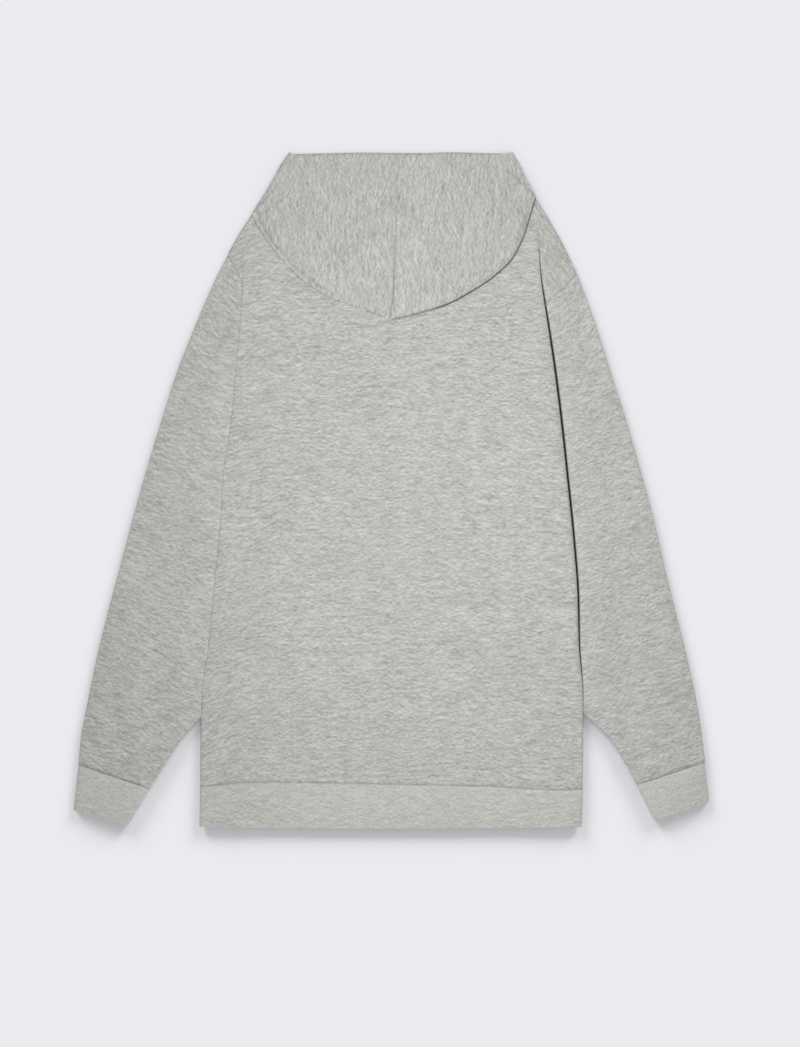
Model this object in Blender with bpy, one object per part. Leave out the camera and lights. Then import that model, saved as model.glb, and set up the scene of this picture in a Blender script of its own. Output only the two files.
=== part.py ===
"""A zip-up hoodie laid flat on its front: back up, hood folded down over the back.

Units here are millimetres; build() turns them into metres at the end. "up" is the distance from
the hem towards the hood (+Y), "out" the distance from the garment's middle line towards a sleeve.
side is -1 for the wearer's left (-X) and 1 for the wearer's right (+X).

The cloth lies in levels, one cloth and one gap apart. From the floor up: the front, the front's
turned-under side, the lower and upper layers of the sleeve, the back's turned-under side, the
back, then the two layers of the hood. Where a layer is missing, those above it sink, so each
height is worked out from how far the turned sides and the sleeves reach.
"""
import math
from collections import namedtuple

import bmesh
import bpy
import numpy as np
from mathutils import Matrix, Vector

MM = 0.001
CLOTH = 1.6             # thickness of the fleece
GAP = 0.4               # clear space between two layers
LEVEL = CLOTH + GAP
SEAM = 0.3              # clear space between two pieces where they are sewn together
LENGTH = 700.0          # hem to the top of the folded hood
LEAN = 7.0              # how far the middle line leans towards +X over that length
FOLD_STEPS = 4          # flat facets in each half-turn fold

# Each side of the body: where it turns under, how deep the turned part is, and how fully the
# layers beneath have parted from each other (0 above the pleat, 1 along it).
SideRow = namedtuple("SideRow", "up fold tuck parted")
SIDE_ROWS = {
    -1: tuple(SideRow(*row) for row in (
        (0, 199.5, 30, 1), (43, 198.7, 32, 1), (90, 198.5, 38, 1), (140, 197.0, 47, 1),
        (190, 190.0, 56, 1), (240, 185.5, 65, 1), (300, 179.3, 74, 1), (371, 174.3, 84, 1),
        (420, 167.0, 60, 1), (470, 162.5, 38, 1), (520, 157.8, 14, 1), (545, 156.0, 10, 1),
        (560, 155.3, 6, 1), (575, 155.0, 0, 0.85), (594, 154.0, 0, 0.5), (612, 150.0, 0, 0.25),
        (633, 141.0, 0, 0), (655, 129.0, 0, 0), (675, 117.0, 0, 0), (690, 104.5, 0, 0))),
    1: tuple(SideRow(*row) for row in (
        (0, 198.0, 30, 1), (43, 199.0, 32, 1), (90, 199.6, 38, 1), (140, 199.8, 47, 1),
        (190, 195.8, 56, 1), (240, 194.5, 65, 1), (300, 190.0, 74, 1), (371, 183.0, 84, 1),
        (420, 177.5, 62, 1), (470, 171.0, 38, 1), (520, 164.0, 14, 1), (545, 160.2, 11, 1),
        (575, 156.5, 6, 1), (594, 155.2, 0, 0.9), (612, 154.0, 0, 0.6), (633, 151.0, 0, 0.2),
        (655, 142.0, 0, 0), (675, 131.0, 0, 0), (690, 114.0, 0, 0))),
}
# The outer line of the garment: the sleeves, then the shoulders.
OutlineRow = namedtuple("OutlineRow", "up left right")
OUTLINE = tuple(OutlineRow(*row) for row in (
    (66, 324.4, 325.8), (97, 322.6, 323.0), (122, 318.2, 319.3), (172, 308.2, 309.1),
    (222, 296.0, 296.8), (271, 282.6, 284.4), (321, 269.4, 272.5), (371, 255.2, 259.2),
    (421, 240.0, 245.0), (471, 223.6, 229.2), (521, 204.4, 213.2), (546, 193.8, 204.8),
    (571, 183.0, 195.3), (596, 170.0, 184.0), (612, 162.2, 175.7), (633, 148.5, 164.0),
    (655, 134.0, 149.5), (675, 121.0, 136.0), (690, 108.0, 118.0)))
# The armhole seam, from the armpit to the shoulder's edge.
SeamPoint = namedtuple("SeamPoint", "up out")
ARMHOLE = {
    -1: tuple(SeamPoint(*row) for row in (
        (371, 90.3), (420, 107.0), (470, 124.5), (520, 143.8), (545, 150.0), (560, 153.5),
        (575, 157.8), (594, 168.4))),
    1: tuple(SeamPoint(*row) for row in (
        (371, 99.0), (420, 115.5), (470, 133.0), (520, 150.0), (545, 162.5), (560, 178.5),
        (575, 193.2))),
}
ARMHOLE_DROP = 0.4      # how much lower the sleeve starts, so that the slanting seam is SEAM wide
# The inner edge of the sleeves, from the cuff to the armpit, partly hidden by the body.
INNER_EDGE = {
    -1: tuple(SeamPoint(*row) for row in (
        (41.2, 250.0), (66, 234.1), (96, 215.2), (119.6, 200.7), (240, 146.0), (371, 90.3))),
    1: tuple(SeamPoint(*row) for row in (
        (45.2, 254.5), (64.5, 242.3), (90.5, 225.7), (107, 217.4), (142.5, 199.7),
        (240, 156.0), (371, 99.0))),
}
# Rings round each sleeve below the armhole, by where they cross its two edges.
RingRow = namedtuple("RingRow", "outer_up inner_up bow")
SLEEVE_RINGS = tuple(RingRow(*row) for row in (
    (530, 365, 0.55), (480, 357, 0.25), (425, 344, 0.1), (370, 325, 0), (320, 278, 0),
    (270, 231, 0), (220, 185, 0), (170, 139, 0), (120, 90, 0), (90, 63, 0)))
# The corners of each cuff: where it joins the sleeve and where the hand comes out.
Cuff = namedtuple("Cuff", "seam_outer seam_inner hand_outer hand_inner")
CUFFS = {
    -1: Cuff((324.4, 65.7), (250.0, 41.2), (330.3, 19.3), (270.0, 2.7)),
    1: Cuff((325.5, 68.2), (254.5, 45.2), (330.9, 26.8), (272.5, 8.7)),
}
CUFF_STATIONS = 6
# The hem seam waves a little across the body.
HEM_SEAM = ((-199, 43.0), (-140, 47.8), (0, 45.5), (100, 43.5), (170, 40.0), (199, 40.5))
HEM_SAG = 2.0           # how much lower the middle of the hem lies than its corners

# Lines across each hood half, from the centre seam to the top corner: the lower fold, the top
# fold, the neck seam at the back, and the face opening or neck seam at the front.
HoodLine = namedtuple("HoodLine", "low_out low_up top_out neck_out front_out front_up")
HOOD_LINES = {
    -1: tuple(HoodLine(*row) for row in (
        (-1.6, 528.5, -7.3, -5.5, -6.5, 664), (25.5, 538.3, 14, 13, 12, 661),
        (55.1, 548.1, 36, 34, 26, 650), (87.0, 564.8, 57, 54, 27, 632),
        (114.6, 590.3, 72, 69, 13, 606), (130.0, 609.5, 82, 79, None, None),
        (139.5, 624.5, 88, 86, None, None), (144.8, 635.5, 93, 91, None, None),
        (133.4, 658.3, 96.5, 95, None, None), (126.4, 670.8, 99.5, 98, None, None),
        (117.4, 685.4, 101.7, 100.5, None, None), (107.8, 699.2, 103.7, 102.5, None, None))),
    1: tuple(HoodLine(*row) for row in (
        (1.6, 528.5, 7.3, 5.5, 6.5, 664), (27.6, 534.0, 28, 26, 24, 661),
        (55.1, 542.6, 50, 47, 38, 650), (80.7, 555.4, 70, 67, 37, 632),
        (106.1, 572.3, 84, 81, 22, 606), (125.2, 589.3, 92, 89, None, None),
        (139.0, 613.6, 98, 95, None, None), (147.0, 637.0, 102.5, 100, None, None),
        (150.7, 655.2, 106, 104, None, None), (142.0, 671.0, 109, 107.5, None, None),
        (133.4, 689.5, 111, 109.8, None, None), (126.8, 699.2, 113, 111.8, None, None))),
}
# Where a hood line has points, along its two hidden parts and along the part that shows.
HIDDEN_STOPS = (0.0, 0.35, 0.7, 1.0)
SHOWN_STOPS = (0.0, 0.2, 0.4, 0.6, 0.8, 1.0)
# The front neck seam, out from the zip to the shoulder: both the fronts and the hood use it.
NECK_STOPS = (0.0, 0.28, 0.52, 0.72, 0.87, 0.96, 1.0)

# Rows up the body, and how far across its face the columns stand.
BODY_UPS = (90, 140, 190, 240, 300, 371, 420, 470, 520, 545, 560, 575, 594, 612, 633, 655, 675, 690)
BACK_STOPS = (0.0, 0.16, 0.32, 0.48, 0.64, 0.78, 0.89, 0.96)
FACE_STOPS = {"front": NECK_STOPS[:-1], "back": BACK_STOPS}
TURNED_STOPS = (0.33, 0.67, 1.0)
HEM_UP = 45.0
ARMPIT_UP = 371.0
PLEAT_UP = 545.0        # above this the turned side turns out again as the shoulder
TOP_UP = 690.0
BACK_NECK = 16.0        # drop of the neck seam at the middle of the back
FRONT_NECK = 107.0      # drop of the neck seam at the zip
SHOULDER_SPREAD = 6.0   # half the width over which the end of the pleat opens out, at most
FRONT_SETBACK = 10.0    # how far inside the back's fold the front's fold lies
HOOD_CLEAR = 0.8        # more space under the hood, over the slopes of the back
NECK_ROUND = 0.75       # roundness of the neck seams: 0.5 is an ellipse, 1 a parabola
NECK_EASE = 1.3         # how late the rows below the neck begin to dip
FOLD_SPREAD = (4.0, 42.0)   # past its edge the body's pile sinks to the floor over this stretch
STEP_SPREAD = (8.0, 60.0)   # over a hidden edge the cloth sinks one level over this stretch
HALF_LEVEL_TURN = CLOTH / 2 + LEVEL / 2     # a fold's edge to the line where its half turn starts

# The zip, closed, on the underside.
ZIP_HALF = 7.5          # middle line to the edge of each front
CHAIN_HALF = 2.6
CHAIN_THICK = 1.6
TAPE_THICK = 1.0
BOX_UP = (1.0, 12.0)
SLIDER_UP = 568.0
SLIDER_LIFT = 4.0       # how far the slider holds the front off the floor
SLIDER_REACH = 90.0     # how far from the slider the front is lifted
BACK_LIFT = 5.8         # how far it holds the back up
BACK_REACH = 125.0      # and how far from the slider
LIFT_CORE = 16.0        # within this radius the lift is full
LIFT_BELOW = 14.0       # the middle of the lift, under the pull, lies this far below the slider
TAPE_TOP = 581.0
ZIP_STOPS = (120, 240, 360, 440, 470, 490, 508, 524, 540, 552)     # closer where the slider lifts it
FUSE = 0.1              # how far parts that are fused run into each other
SLIDER = {"half": 5.0, "length": 13.0, "plate": 1.0, "post_half": 1.5, "post_start": 3.0, "post_end": 0.4,
          "bridge": 2.4, "bridge_half": 1.0, "bridge_start": 2.0, "bridge_end": 3.0, "arch": 0.9,
          "leg": 1.0}
PULL = {"half_eye": 1.4, "half_tab": 2.9, "pin": 0.35, "thick": 0.7, "axis": -1.0, "eye": 6.0,
        "length": 27.0}

FLEECE = (0.50, 0.50, 0.48, 1.0)
TAPE = (0.42, 0.42, 0.41, 1.0)
METAL = (0.55, 0.55, 0.56, 1.0)

SLIDER_X = LEAN * SLIDER_UP / LENGTH
CENTRE_X = (CUFFS[1].hand_outer[0] - CUFFS[-1].hand_outer[0]) / 2


def smooth(start, end, value):
    """0 at start, 1 at end, and level at both."""
    part = np.clip((value - start) / (end - start), 0.0, 1.0)
    return part * part * (3.0 - 2.0 * part)


def through(table, value_of, at):
    """A smooth curve through a table's rows, with no overshoot between them."""
    ups = np.array([row[0] for row in table], float)
    values = np.array([value_of(row) for row in table], float)
    steps = np.diff(ups)
    slopes = np.diff(values) / steps
    before, after = slopes[:-1], slopes[1:]
    same_way = before * after > 0
    total = np.where(same_way, before + after, 1.0)
    inner = np.where(same_way, 2 * before * after / total, 0.0)
    tangent = np.concatenate([[slopes[0]], inner, [slopes[-1]]])
    at = np.clip(at, ups[0], ups[-1])
    k = np.clip(np.searchsorted(ups, at) - 1, 0, len(steps) - 1)
    t = (at - ups[k]) / steps[k]
    start, end = values[k], values[k + 1]
    leave, arrive = steps[k] * tangent[k], steps[k] * tangent[k + 1]
    return (start + (end - start) * t * t * (3 - 2 * t)
            + leave * t * (1 - t) ** 2 - arrive * t * t * (1 - t))


def fold_out(side, up):
    return through(SIDE_ROWS[side], lambda row: row.fold, up)


def tuck_depth(side, up):
    return through(SIDE_ROWS[side], lambda row: row.tuck, up)


def parted(side, up):
    return through(SIDE_ROWS[side], lambda row: row.parted, up)


def outline(side, up):
    return through(OUTLINE, lambda row: row.left if side < 0 else row.right, up)


def armhole(side, up):
    return through(ARMHOLE[side], lambda row: row.out, up)


def inner_edge(side, up):
    """The sleeve's inner edge, or above the armpit the line where the sleeve begins."""
    return np.where(up < ARMPIT_UP, through(INNER_EDGE[side], lambda row: row.out, up),
                    fold_out(side, up) - tuck_depth(side, up))


def middle(up):
    return LEAN * up / LENGTH


def slider_bump(x, y, reach=SLIDER_REACH):
    """How close a point is to the slider: 1 over it, 0 out of its reach."""
    return 1.0 - smooth(LIFT_CORE, reach, np.hypot(x - SLIDER_X, y - SLIDER_UP + LIFT_BELOW))


def layers_between(x, y):
    """How far the turned sides, and what lies between them, hold a point's levels apart (0 to 1)."""
    side_values = []
    for side in (-1, 1):
        out = side * x
        fold = fold_out(side, y)
        here = parted(side, y) * (1.0 - smooth(*FOLD_SPREAD, out - fold))
        turned = here * (1.0 - smooth(*STEP_SPREAD, fold - out - tuck_depth(side, y)))
        sleeve = here * (1.0 - smooth(*STEP_SPREAD, inner_edge(side, y) - out))
        side_values.append((turned, sleeve * smooth(HEM_UP, BODY_UPS[0], y)))
    return (np.maximum(side_values[0][0], side_values[1][0]),
            np.maximum(side_values[0][1], side_values[1][1]))


def height(layer, x, y):
    """The middle of a layer's cloth above the floor."""
    turned, sleeve = layers_between(x, y)
    levels = {
        "front": 0.0, "front_turned": turned, "sleeve_lower": turned + sleeve,
        "sleeve_upper": 1.0 + turned + sleeve, "back_turned": 1.0 + turned + 2.0 * sleeve,
        "back": 1.0 + 2.0 * turned + 2.0 * sleeve, "hood_lower": 2.0 + 2.0 * turned + 2.0 * sleeve,
        "hood_upper": 3.0 + 2.0 * turned + 2.0 * sleeve,
    }[layer]
    if layer.startswith(("back", "hood")):
        lift = BACK_LIFT * slider_bump(x, y, BACK_REACH)
    else:
        lift = SLIDER_LIFT * slider_bump(x, y)
    clear = HOOD_CLEAR if layer.startswith("hood") else 0.0
    return CLOTH / 2 + LEVEL * levels + lift + clear


class Sheet:
    """A surface of cloth as rows of points, thickened to a wall when it is made."""

    def __init__(self):
        self.points = []
        self.faces = []

    def grid(self, rows, closed=False):
        """Joins rows of points, where a missing point is None."""
        numbers = []
        for row in rows:
            numbers.append([self.point(p) if p is not None else None for p in row])
        for lower, upper in zip(numbers, numbers[1:]):
            count = len(lower) if closed else len(lower) - 1
            for k in range(count):
                after = (k + 1) % len(lower)
                corners = (lower[k], lower[after], upper[after], upper[k])
                if None not in corners:
                    self.faces.append(corners)

    def point(self, place):
        self.points.append(tuple(float(c) for c in place))
        return len(self.points) - 1

    def make(self, name, colour):
        item = add_object(name, mesh_of(name, self.points, self.faces), colour)
        wall = item.modifiers.new("wall", "SOLIDIFY")
        wall.thickness = CLOTH * MM
        wall.offset = 0.0
        wall.use_even_offset = False


def place(point):
    """A point in the frame of the part, in metres: the origin is under the middle of its box."""
    x, y, z = point
    return ((x - CENTRE_X) * MM, (y - LENGTH / 2) * MM, z * MM)


def mesh_of(name, points, faces):
    mesh = bpy.data.meshes.new(name)
    mesh.from_pydata([place(point) for point in points], [], faces)
    work = bmesh.new()
    work.from_mesh(mesh)
    bmesh.ops.recalc_face_normals(work, faces=work.faces)
    work.to_mesh(mesh)
    work.free()
    return mesh


def add_object(name, mesh, colour, metallic=0.0):
    material = bpy.data.materials.get(name) or bpy.data.materials.new(name)
    material.use_nodes = True
    shader = material.node_tree.nodes["Principled BSDF"]
    shader.inputs["Base Color"].default_value = colour
    shader.inputs["Metallic"].default_value = metallic
    shader.inputs["Roughness"].default_value = 0.4 if metallic else 0.9
    mesh.materials.append(material)
    item = bpy.data.objects.new(name, mesh)
    bpy.context.collection.objects.link(item)
    return item


def half_turn(x_edge, direction, z_start, z_end):
    """(x, z) round a fold whose outer face reaches x_edge, from one layer to the next."""
    radius = abs(z_start - z_end) / 2
    centre_x = x_edge - direction * (CLOTH / 2 + radius)
    centre_z = (z_start + z_end) / 2
    sign = 1 if z_start > z_end else -1
    turns = [math.pi / 2 - math.pi * k / FOLD_STEPS for k in range(FOLD_STEPS + 1)]
    return [(centre_x + direction * radius * math.cos(a), centre_z + sign * radius * math.sin(a))
            for a in turns]


def turned_side(layer, side, up):
    """The fold, the turned part and, above the pleat's line, the second fold and the shoulder.

    Points run outwards from the face of the panel. Below PLEAT_UP the shoulder is missing.
    """
    fold = fold_out(side, up)
    tuck = tuck_depth(side, up)
    turned_layer = layer + "_turned"
    next_layer = "sleeve_upper" if layer == "back" else "sleeve_lower"
    z_face = height(layer, side * (fold - 2), up)
    z_turned = height(turned_layer, side * (fold - 2), up)
    reach = 0.0 if layer == "back" or tuck <= 0 else -FRONT_SETBACK
    has_shoulder = up >= PLEAT_UP
    outer = outline(side, up)
    if up <= ARMHOLE[side][-1].up:
        outer = min(outer, armhole(side, up))
    count = (FOLD_STEPS + 1) + len(TURNED_STOPS)
    if tuck <= 0:
        spread = min(SHOULDER_SPREAD, (outer - fold) / 2)
        z_out = height(next_layer, side * (fold + spread), up)
        steps = count + FOLD_STEPS
        line = []
        for k in range(steps):
            part = k / (steps - 1)
            x = fold + spread * (2 * part - 1)
            line.append((side * x, up, z_face + (z_out - z_face) * smooth(0.0, 1.0, part)))
    else:
        line = [(side * x, up, z) for x, z in half_turn(fold + reach, 1, z_face, z_turned)]
        first = side * line[-1][0]
        last = fold + reach - tuck
        inner_turn = []
        if has_shoulder:
            z_next = height(next_layer, side * (fold - tuck), up)
            inner_turn = half_turn(last, -1, height(turned_layer, side * last, up), z_next)
            last = inner_turn[0][0]
        for part in TURNED_STOPS:
            x = first + (last - first) * part
            line.append((side * x, up, height(turned_layer, side * x, up)))
        line += [(side * x, up, z) for x, z in inner_turn[1:]]
    if not has_shoulder:
        return line + [None] * (FOLD_STEPS + 2)
    first = side * line[-1][0]
    for part in (0.5, 1.0):
        x = first + (outer - first) * part
        line.append((side * x, up, height(next_layer, side * x, up)))
    return line


def hem_line(x):
    """The hem seam's distance from the hem, across the body."""
    return through(HEM_SEAM, lambda row: row[1], x)


def neck_drop(layer, up):
    """How far the middle of a row lies below its ends."""
    full, start = (BACK_NECK, 560.0) if layer == "back" else (FRONT_NECK, 420.0)
    part = min(max((up - start) / (TOP_UP - start), 0.0), 1.0)
    return full * part ** NECK_EASE


def face_points(layer, side, up, inner_out):
    """Points of a panel's face from its inner edge to its fold, the drop of the neck included."""
    end = turned_side(layer, side, up)[0][0] * side
    points = []
    for stop in FACE_STOPS[layer]:
        y = up - neck_drop(layer, up) * (1.0 - stop ** 2) ** NECK_ROUND
        start = middle(y) * side + inner_out
        x = side * (start + (end - start) * stop)
        points.append((x, y, height(layer, x, y)))
    return points


def settle(points, up):
    """Moves the lowest row to the hem seam."""
    if up > HEM_UP:
        return points
    return [None if p is None else (p[0], hem_line(p[0]) + SEAM, p[2]) for p in points]


def make_back():
    """The back: one sheet from shoulder to shoulder, with both sides turned under."""
    rows = []
    for up in (HEM_UP,) + BODY_UPS:
        right = face_points("back", 1, up, 0.0)
        left = face_points("back", -1, up, 0.0)[1:]
        row = turned_side("back", -1, up)[::-1] + left[::-1] + right + turned_side("back", 1, up)
        rows.append(settle(row, up))
    sheet = Sheet()
    sheet.grid(rows)
    sheet.make("back", FLEECE)


def make_front(side, name):
    """One front: from the zip to the side, which turns up and in under the back's."""
    rows = []
    for up in (HEM_UP,) + BODY_UPS:
        row = face_points("front", side, up, ZIP_HALF) + turned_side("front", side, up)
        rows.append(settle(row, up))
    sheet = Sheet()
    sheet.grid(rows)
    sheet.make(name, FLEECE)


def ring(side, stations, direction):
    """One flattened ring round a sleeve or cuff.

    stations run from the outer edge to the inner edge as (x, y); the upper layer is followed
    round the inner fold to the lower layer and back round the outer fold.
    """
    upper = [(x, y, height("sleeve_upper", x, y)) for x, y in stations]
    lower = [(x, y, height("sleeve_lower", x, y)) for x, y in stations]
    loop = list(upper)
    for edge, sign in ((-1, 1), (0, -1)):
        top, bottom = (upper[edge], lower[edge]) if sign > 0 else (lower[edge], upper[edge])
        radius = abs(top[2] - bottom[2]) / 2
        centre = (top[2] + bottom[2]) / 2
        way = (direction[0] * sign, direction[1] * sign)
        for k in range(1, FOLD_STEPS):
            a = math.pi / 2 - math.pi * k / FOLD_STEPS
            push = radius * math.cos(a)
            z = centre + (top[2] - centre) * math.sin(a)
            loop.append((top[0] + way[0] * push, top[1] + way[1] * push, z))
        if sign > 0:
            loop += lower[::-1]
    return loop


def stations_between(outer, inner, bows):
    """Points from a ring's outer edge to its inner edge, bowed like the armhole."""
    count = len(bows)
    dx, dy = inner[0] - outer[0], inner[1] - outer[1]
    length = math.hypot(dx, dy)
    way = (dx / length, dy / length)
    points = []
    for k, (bow_x, bow_y) in enumerate(bows):
        along = HALF_LEVEL_TURN + (length - 2 * HALF_LEVEL_TURN) * k / (count - 1)
        points.append((outer[0] + way[0] * along + bow_x, outer[1] + way[1] * along + bow_y))
    return points, way


def towards(start, end, distance):
    length = math.hypot(end[0] - start[0], end[1] - start[1])
    return lerp(start, end, distance / length)


def make_sleeve(side, name):
    """A sleeve: a flat tube from the armhole seam to the cuff seam."""
    seam = [(side * row.out, row.up) for row in ARMHOLE[side]][::-1]
    straight, way = stations_between(seam[0], seam[-1], [(0, 0)] * len(seam))
    top = [(x + side * SEAM, y - ARMHOLE_DROP) for x, y in seam]
    top[0] = towards(top[0], top[1], HALF_LEVEL_TURN)
    top[-1] = towards(top[-1], top[-2], HALF_LEVEL_TURN)
    bow = [(a[0] - b[0], a[1] - b[1]) for a, b in zip(top, straight)]
    rings = [ring(side, top, way)]
    for row in SLEEVE_RINGS:
        outer = (side * float(outline(side, row.outer_up)), row.outer_up)
        inner = (side * float(inner_edge(side, row.inner_up)), row.inner_up)
        points, way = stations_between(outer, inner, [(x * row.bow, y * row.bow) for x, y in bow])
        rings.append(ring(side, points, way))
    cuff = CUFFS[side]
    outer = (side * cuff.seam_outer[0], cuff.seam_outer[1] + SEAM)
    inner = (side * cuff.seam_inner[0], cuff.seam_inner[1] + SEAM)
    points, way = stations_between(outer, inner, [(0, 0)] * len(seam))
    rings.append(ring(side, points, way))
    sheet = Sheet()
    sheet.grid(rings, closed=True)
    sheet.make(name, FLEECE)


def make_cuff(side, name):
    """A cuff: a short tube that narrows a little towards the hand."""
    cuff = CUFFS[side]
    rings = []
    for part in (0.0, 0.5, 1.0):
        outer, inner = (
            (side * (a[0] + (b[0] - a[0]) * part), a[1] + (b[1] - a[1]) * part)
            for a, b in ((cuff.seam_outer, cuff.hand_outer), (cuff.seam_inner, cuff.hand_inner)))
        points, way = stations_between(outer, inner, [(0, 0)] * CUFF_STATIONS)
        rings.append(ring(side, points, way))
    sheet = Sheet()
    sheet.grid(rings, closed=True)
    sheet.make(name, FLEECE)


def make_waistband():
    """The waistband: one strip from zip to zip, turned under at both sides like the body."""
    rows = []
    turned_count = FOLD_STEPS + 1 + len(TURNED_STOPS)
    for up in (0.0, HEM_UP / 2, HEM_UP):
        row = []
        for side in (-1, 1):
            front = face_points("front", side, up, ZIP_HALF) + turned_side("front", side, up)[:turned_count]
            back = face_points("back", side, up, 0.0) + turned_side("back", side, up)[:turned_count]
            front_end, back_end = front.pop(), back.pop()
            turn = half_turn(side * front_end[0] - CLOTH, -1, front_end[2], back_end[2])
            joint = [(side * x, up, z) for x, z in turn]
            chain = front + joint + back[::-1]
            row = row + chain if side < 0 else row[:-1] + chain[::-1]
        part = up / HEM_UP
        rise = HEM_SAG * (1.0 - part) / SIDE_ROWS[-1][0].fold ** 2
        rows.append([(x, hem_line(x) * part + min(rise * x * x, HEM_SAG), z) for x, y, z in row])
    sheet = Sheet()
    sheet.grid(rows)
    sheet.make("waistband", FLEECE)


def front_neck_stations(side):
    """Where the fronts' top row crosses each stop, from the zip to the shoulder."""
    points = face_points("front", side, TOP_UP, ZIP_HALF)
    points.append(turned_side("front", side, TOP_UP)[0])
    return points


def make_hood(side, name):
    """A hood half: its lower layer, the lower fold, the layer that shows, the top fold and the
    part that comes round to the neck seam and the face opening on the underside."""
    lines = HOOD_LINES[side]
    neck = front_neck_stations(side)
    rows = []
    for k, line in enumerate(lines):
        off = SEAM / 2 if k == 0 else 0.0
        low = (side * (line.low_out + off), line.low_up)
        top = (side * (line.top_out + off), LENGTH)
        back_neck = (side * (line.neck_out + off), back_neck_up(side, line.neck_out))
        if line.front_up is None:
            stop = neck[k - len(lines) + len(neck)]
            front = (stop[0], stop[1] + SEAM)
        else:
            front = (side * (line.front_out + off), line.front_up)
        rows.append(hood_line(low, top, back_neck, front))
    sheet = Sheet()
    sheet.grid(rows)
    sheet.make(name, FLEECE)


def back_neck_up(side, out):
    """The back neck seam's height at a distance from the middle."""
    end = turned_side("back", side, TOP_UP)[0][0]
    across = min(abs(side * out - middle(TOP_UP)) / (abs(end) - middle(TOP_UP) * side), 1.0)
    return TOP_UP - BACK_NECK * (1.0 - across ** 2) ** NECK_ROUND


def lerp(a, b, part):
    return tuple(p + (q - p) * part for p, q in zip(a, b))


def hood_line(low, top, back_neck, front):
    """One line over the hood, from the back neck seam round both folds to the front."""
    line = []
    away = math.hypot(low[0] - top[0], low[1] - top[1])
    way = ((low[0] - top[0]) / away, (low[1] - top[1]) / away)
    turn = (low[0] - way[0] * HALF_LEVEL_TURN, low[1] - way[1] * HALF_LEVEL_TURN)
    for part in HIDDEN_STOPS:
        x, y = lerp(back_neck, turn, part)
        line.append((x, y, float(height("hood_lower", x, y))))
    under, over = (float(height(layer, *turn)) for layer in ("hood_lower", "hood_upper"))
    for k in range(1, FOLD_STEPS):
        a = -math.pi / 2 + math.pi * k / FOLD_STEPS
        push = (over - under) / 2 * math.cos(a)
        line.append((turn[0] + way[0] * push, turn[1] + way[1] * push,
                     (over + under) / 2 + (over - under) / 2 * math.sin(a)))
    z_low = float(height("front", *top))
    z_high = float(height("hood_upper", *top))
    radius = (z_high - z_low) / 2
    edge = (top[0], top[1] - CLOTH / 2 - radius)
    for part in SHOWN_STOPS:
        x, y = lerp(turn, edge, part)
        line.append((x, y, float(height("hood_upper", x, y))))
    for k in range(1, FOLD_STEPS):
        a = math.pi / 2 - math.pi * k / FOLD_STEPS
        line.append((edge[0], edge[1] + radius * math.cos(a), z_low + radius + radius * math.sin(a)))
    for part in HIDDEN_STOPS:
        x, y = lerp(edge, front, part)
        line.append((x, y, float(height("front", x, y))))
    return line


# ---- the zip

def loft(name, rings, colour, metallic=0.0):
    """A solid through rings of points, closed at both ends."""
    points = [p for one in rings for p in one]
    count = len(rings[0])
    faces = []
    for r in range(len(rings) - 1):
        for k in range(count):
            after = (k + 1) % count
            faces.append((r * count + k, r * count + after, (r + 1) * count + after, (r + 1) * count + k))
    faces.append(tuple(range(count))[::-1])
    faces.append(tuple((len(rings) - 1) * count + k for k in range(count)))
    return add_object(name, mesh_of(name, points, faces), colour, metallic)


def strip(name, start, end, left, right, thickness, colour, metallic=0.0):
    """A long flat piece along the zip, between two distances from the middle line."""
    rings = []
    for up in [start] + [stop for stop in ZIP_STOPS if start < stop < end] + [end]:
        x_mid = float(middle(up))
        z = CLOTH / 2 + SLIDER_LIFT * float(slider_bump(x_mid, up))
        low, high = z - thickness / 2, z + thickness / 2
        rings.append([(x_mid + left, up, low), (x_mid + right, up, low),
                      (x_mid + right, up, high), (x_mid + left, up, high)])
    return loft(name, rings, colour, metallic)


def box(low, high):
    """The eight corners of a box as two rings along Y."""
    return [[(low[0], y, low[2]), (high[0], y, low[2]), (high[0], y, high[2]), (low[0], y, high[2])]
            for y in (low[1], high[1])]


def join_bodies(base, others):
    """Fuses other objects into base with exact Booleans and drops them."""
    for other in others:
        cut = base.modifiers.new("join", "BOOLEAN")
        cut.operation = "UNION"
        cut.object = other
        other.hide_render = True
        other.display_type = "WIRE"


def make_slider():
    """The slider: two plates round the teeth, joined by the post between the open teeth, and the
    low bridge under the outer plate that holds the pull."""
    z = CLOTH / 2 + SLIDER_LIFT
    low, high = SLIDER_UP - SLIDER["length"] / 2, SLIDER_UP + SLIDER["length"] / 2
    gap = CHAIN_THICK / 2 + SEAM
    under = z - gap - SLIDER["plate"]
    bridge_low = under - SLIDER["bridge"]
    start, end = low + SLIDER["bridge_start"], high - SLIDER["bridge_end"]
    # Each part: half width, start and end up the zip, bottom and top.
    parts = (
        (SLIDER["half"], low, high, z + gap, z + gap + SLIDER["plate"]),
        (SLIDER["half"], low, high, under, z - gap),
        (SLIDER["post_half"], high - SLIDER["post_start"], high - SLIDER["post_end"],
         z - gap - FUSE, z + gap + FUSE),
        (SLIDER["bridge_half"], start, start + SLIDER["leg"], bridge_low, under + FUSE),
        (SLIDER["bridge_half"], end - SLIDER["leg"], end, bridge_low, under + FUSE),
        (SLIDER["bridge_half"], start, end, bridge_low, bridge_low + SLIDER["arch"]),
    )
    items = [loft(f"slider_part_{k}" if k else "zip_slider",
                  box((SLIDER_X - half, first, bottom), (SLIDER_X + half, last, top)), METAL, 1.0)
             for k, (half, first, last, bottom, top) in enumerate(parts)]
    join_bodies(items[0], items[1:])


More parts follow.
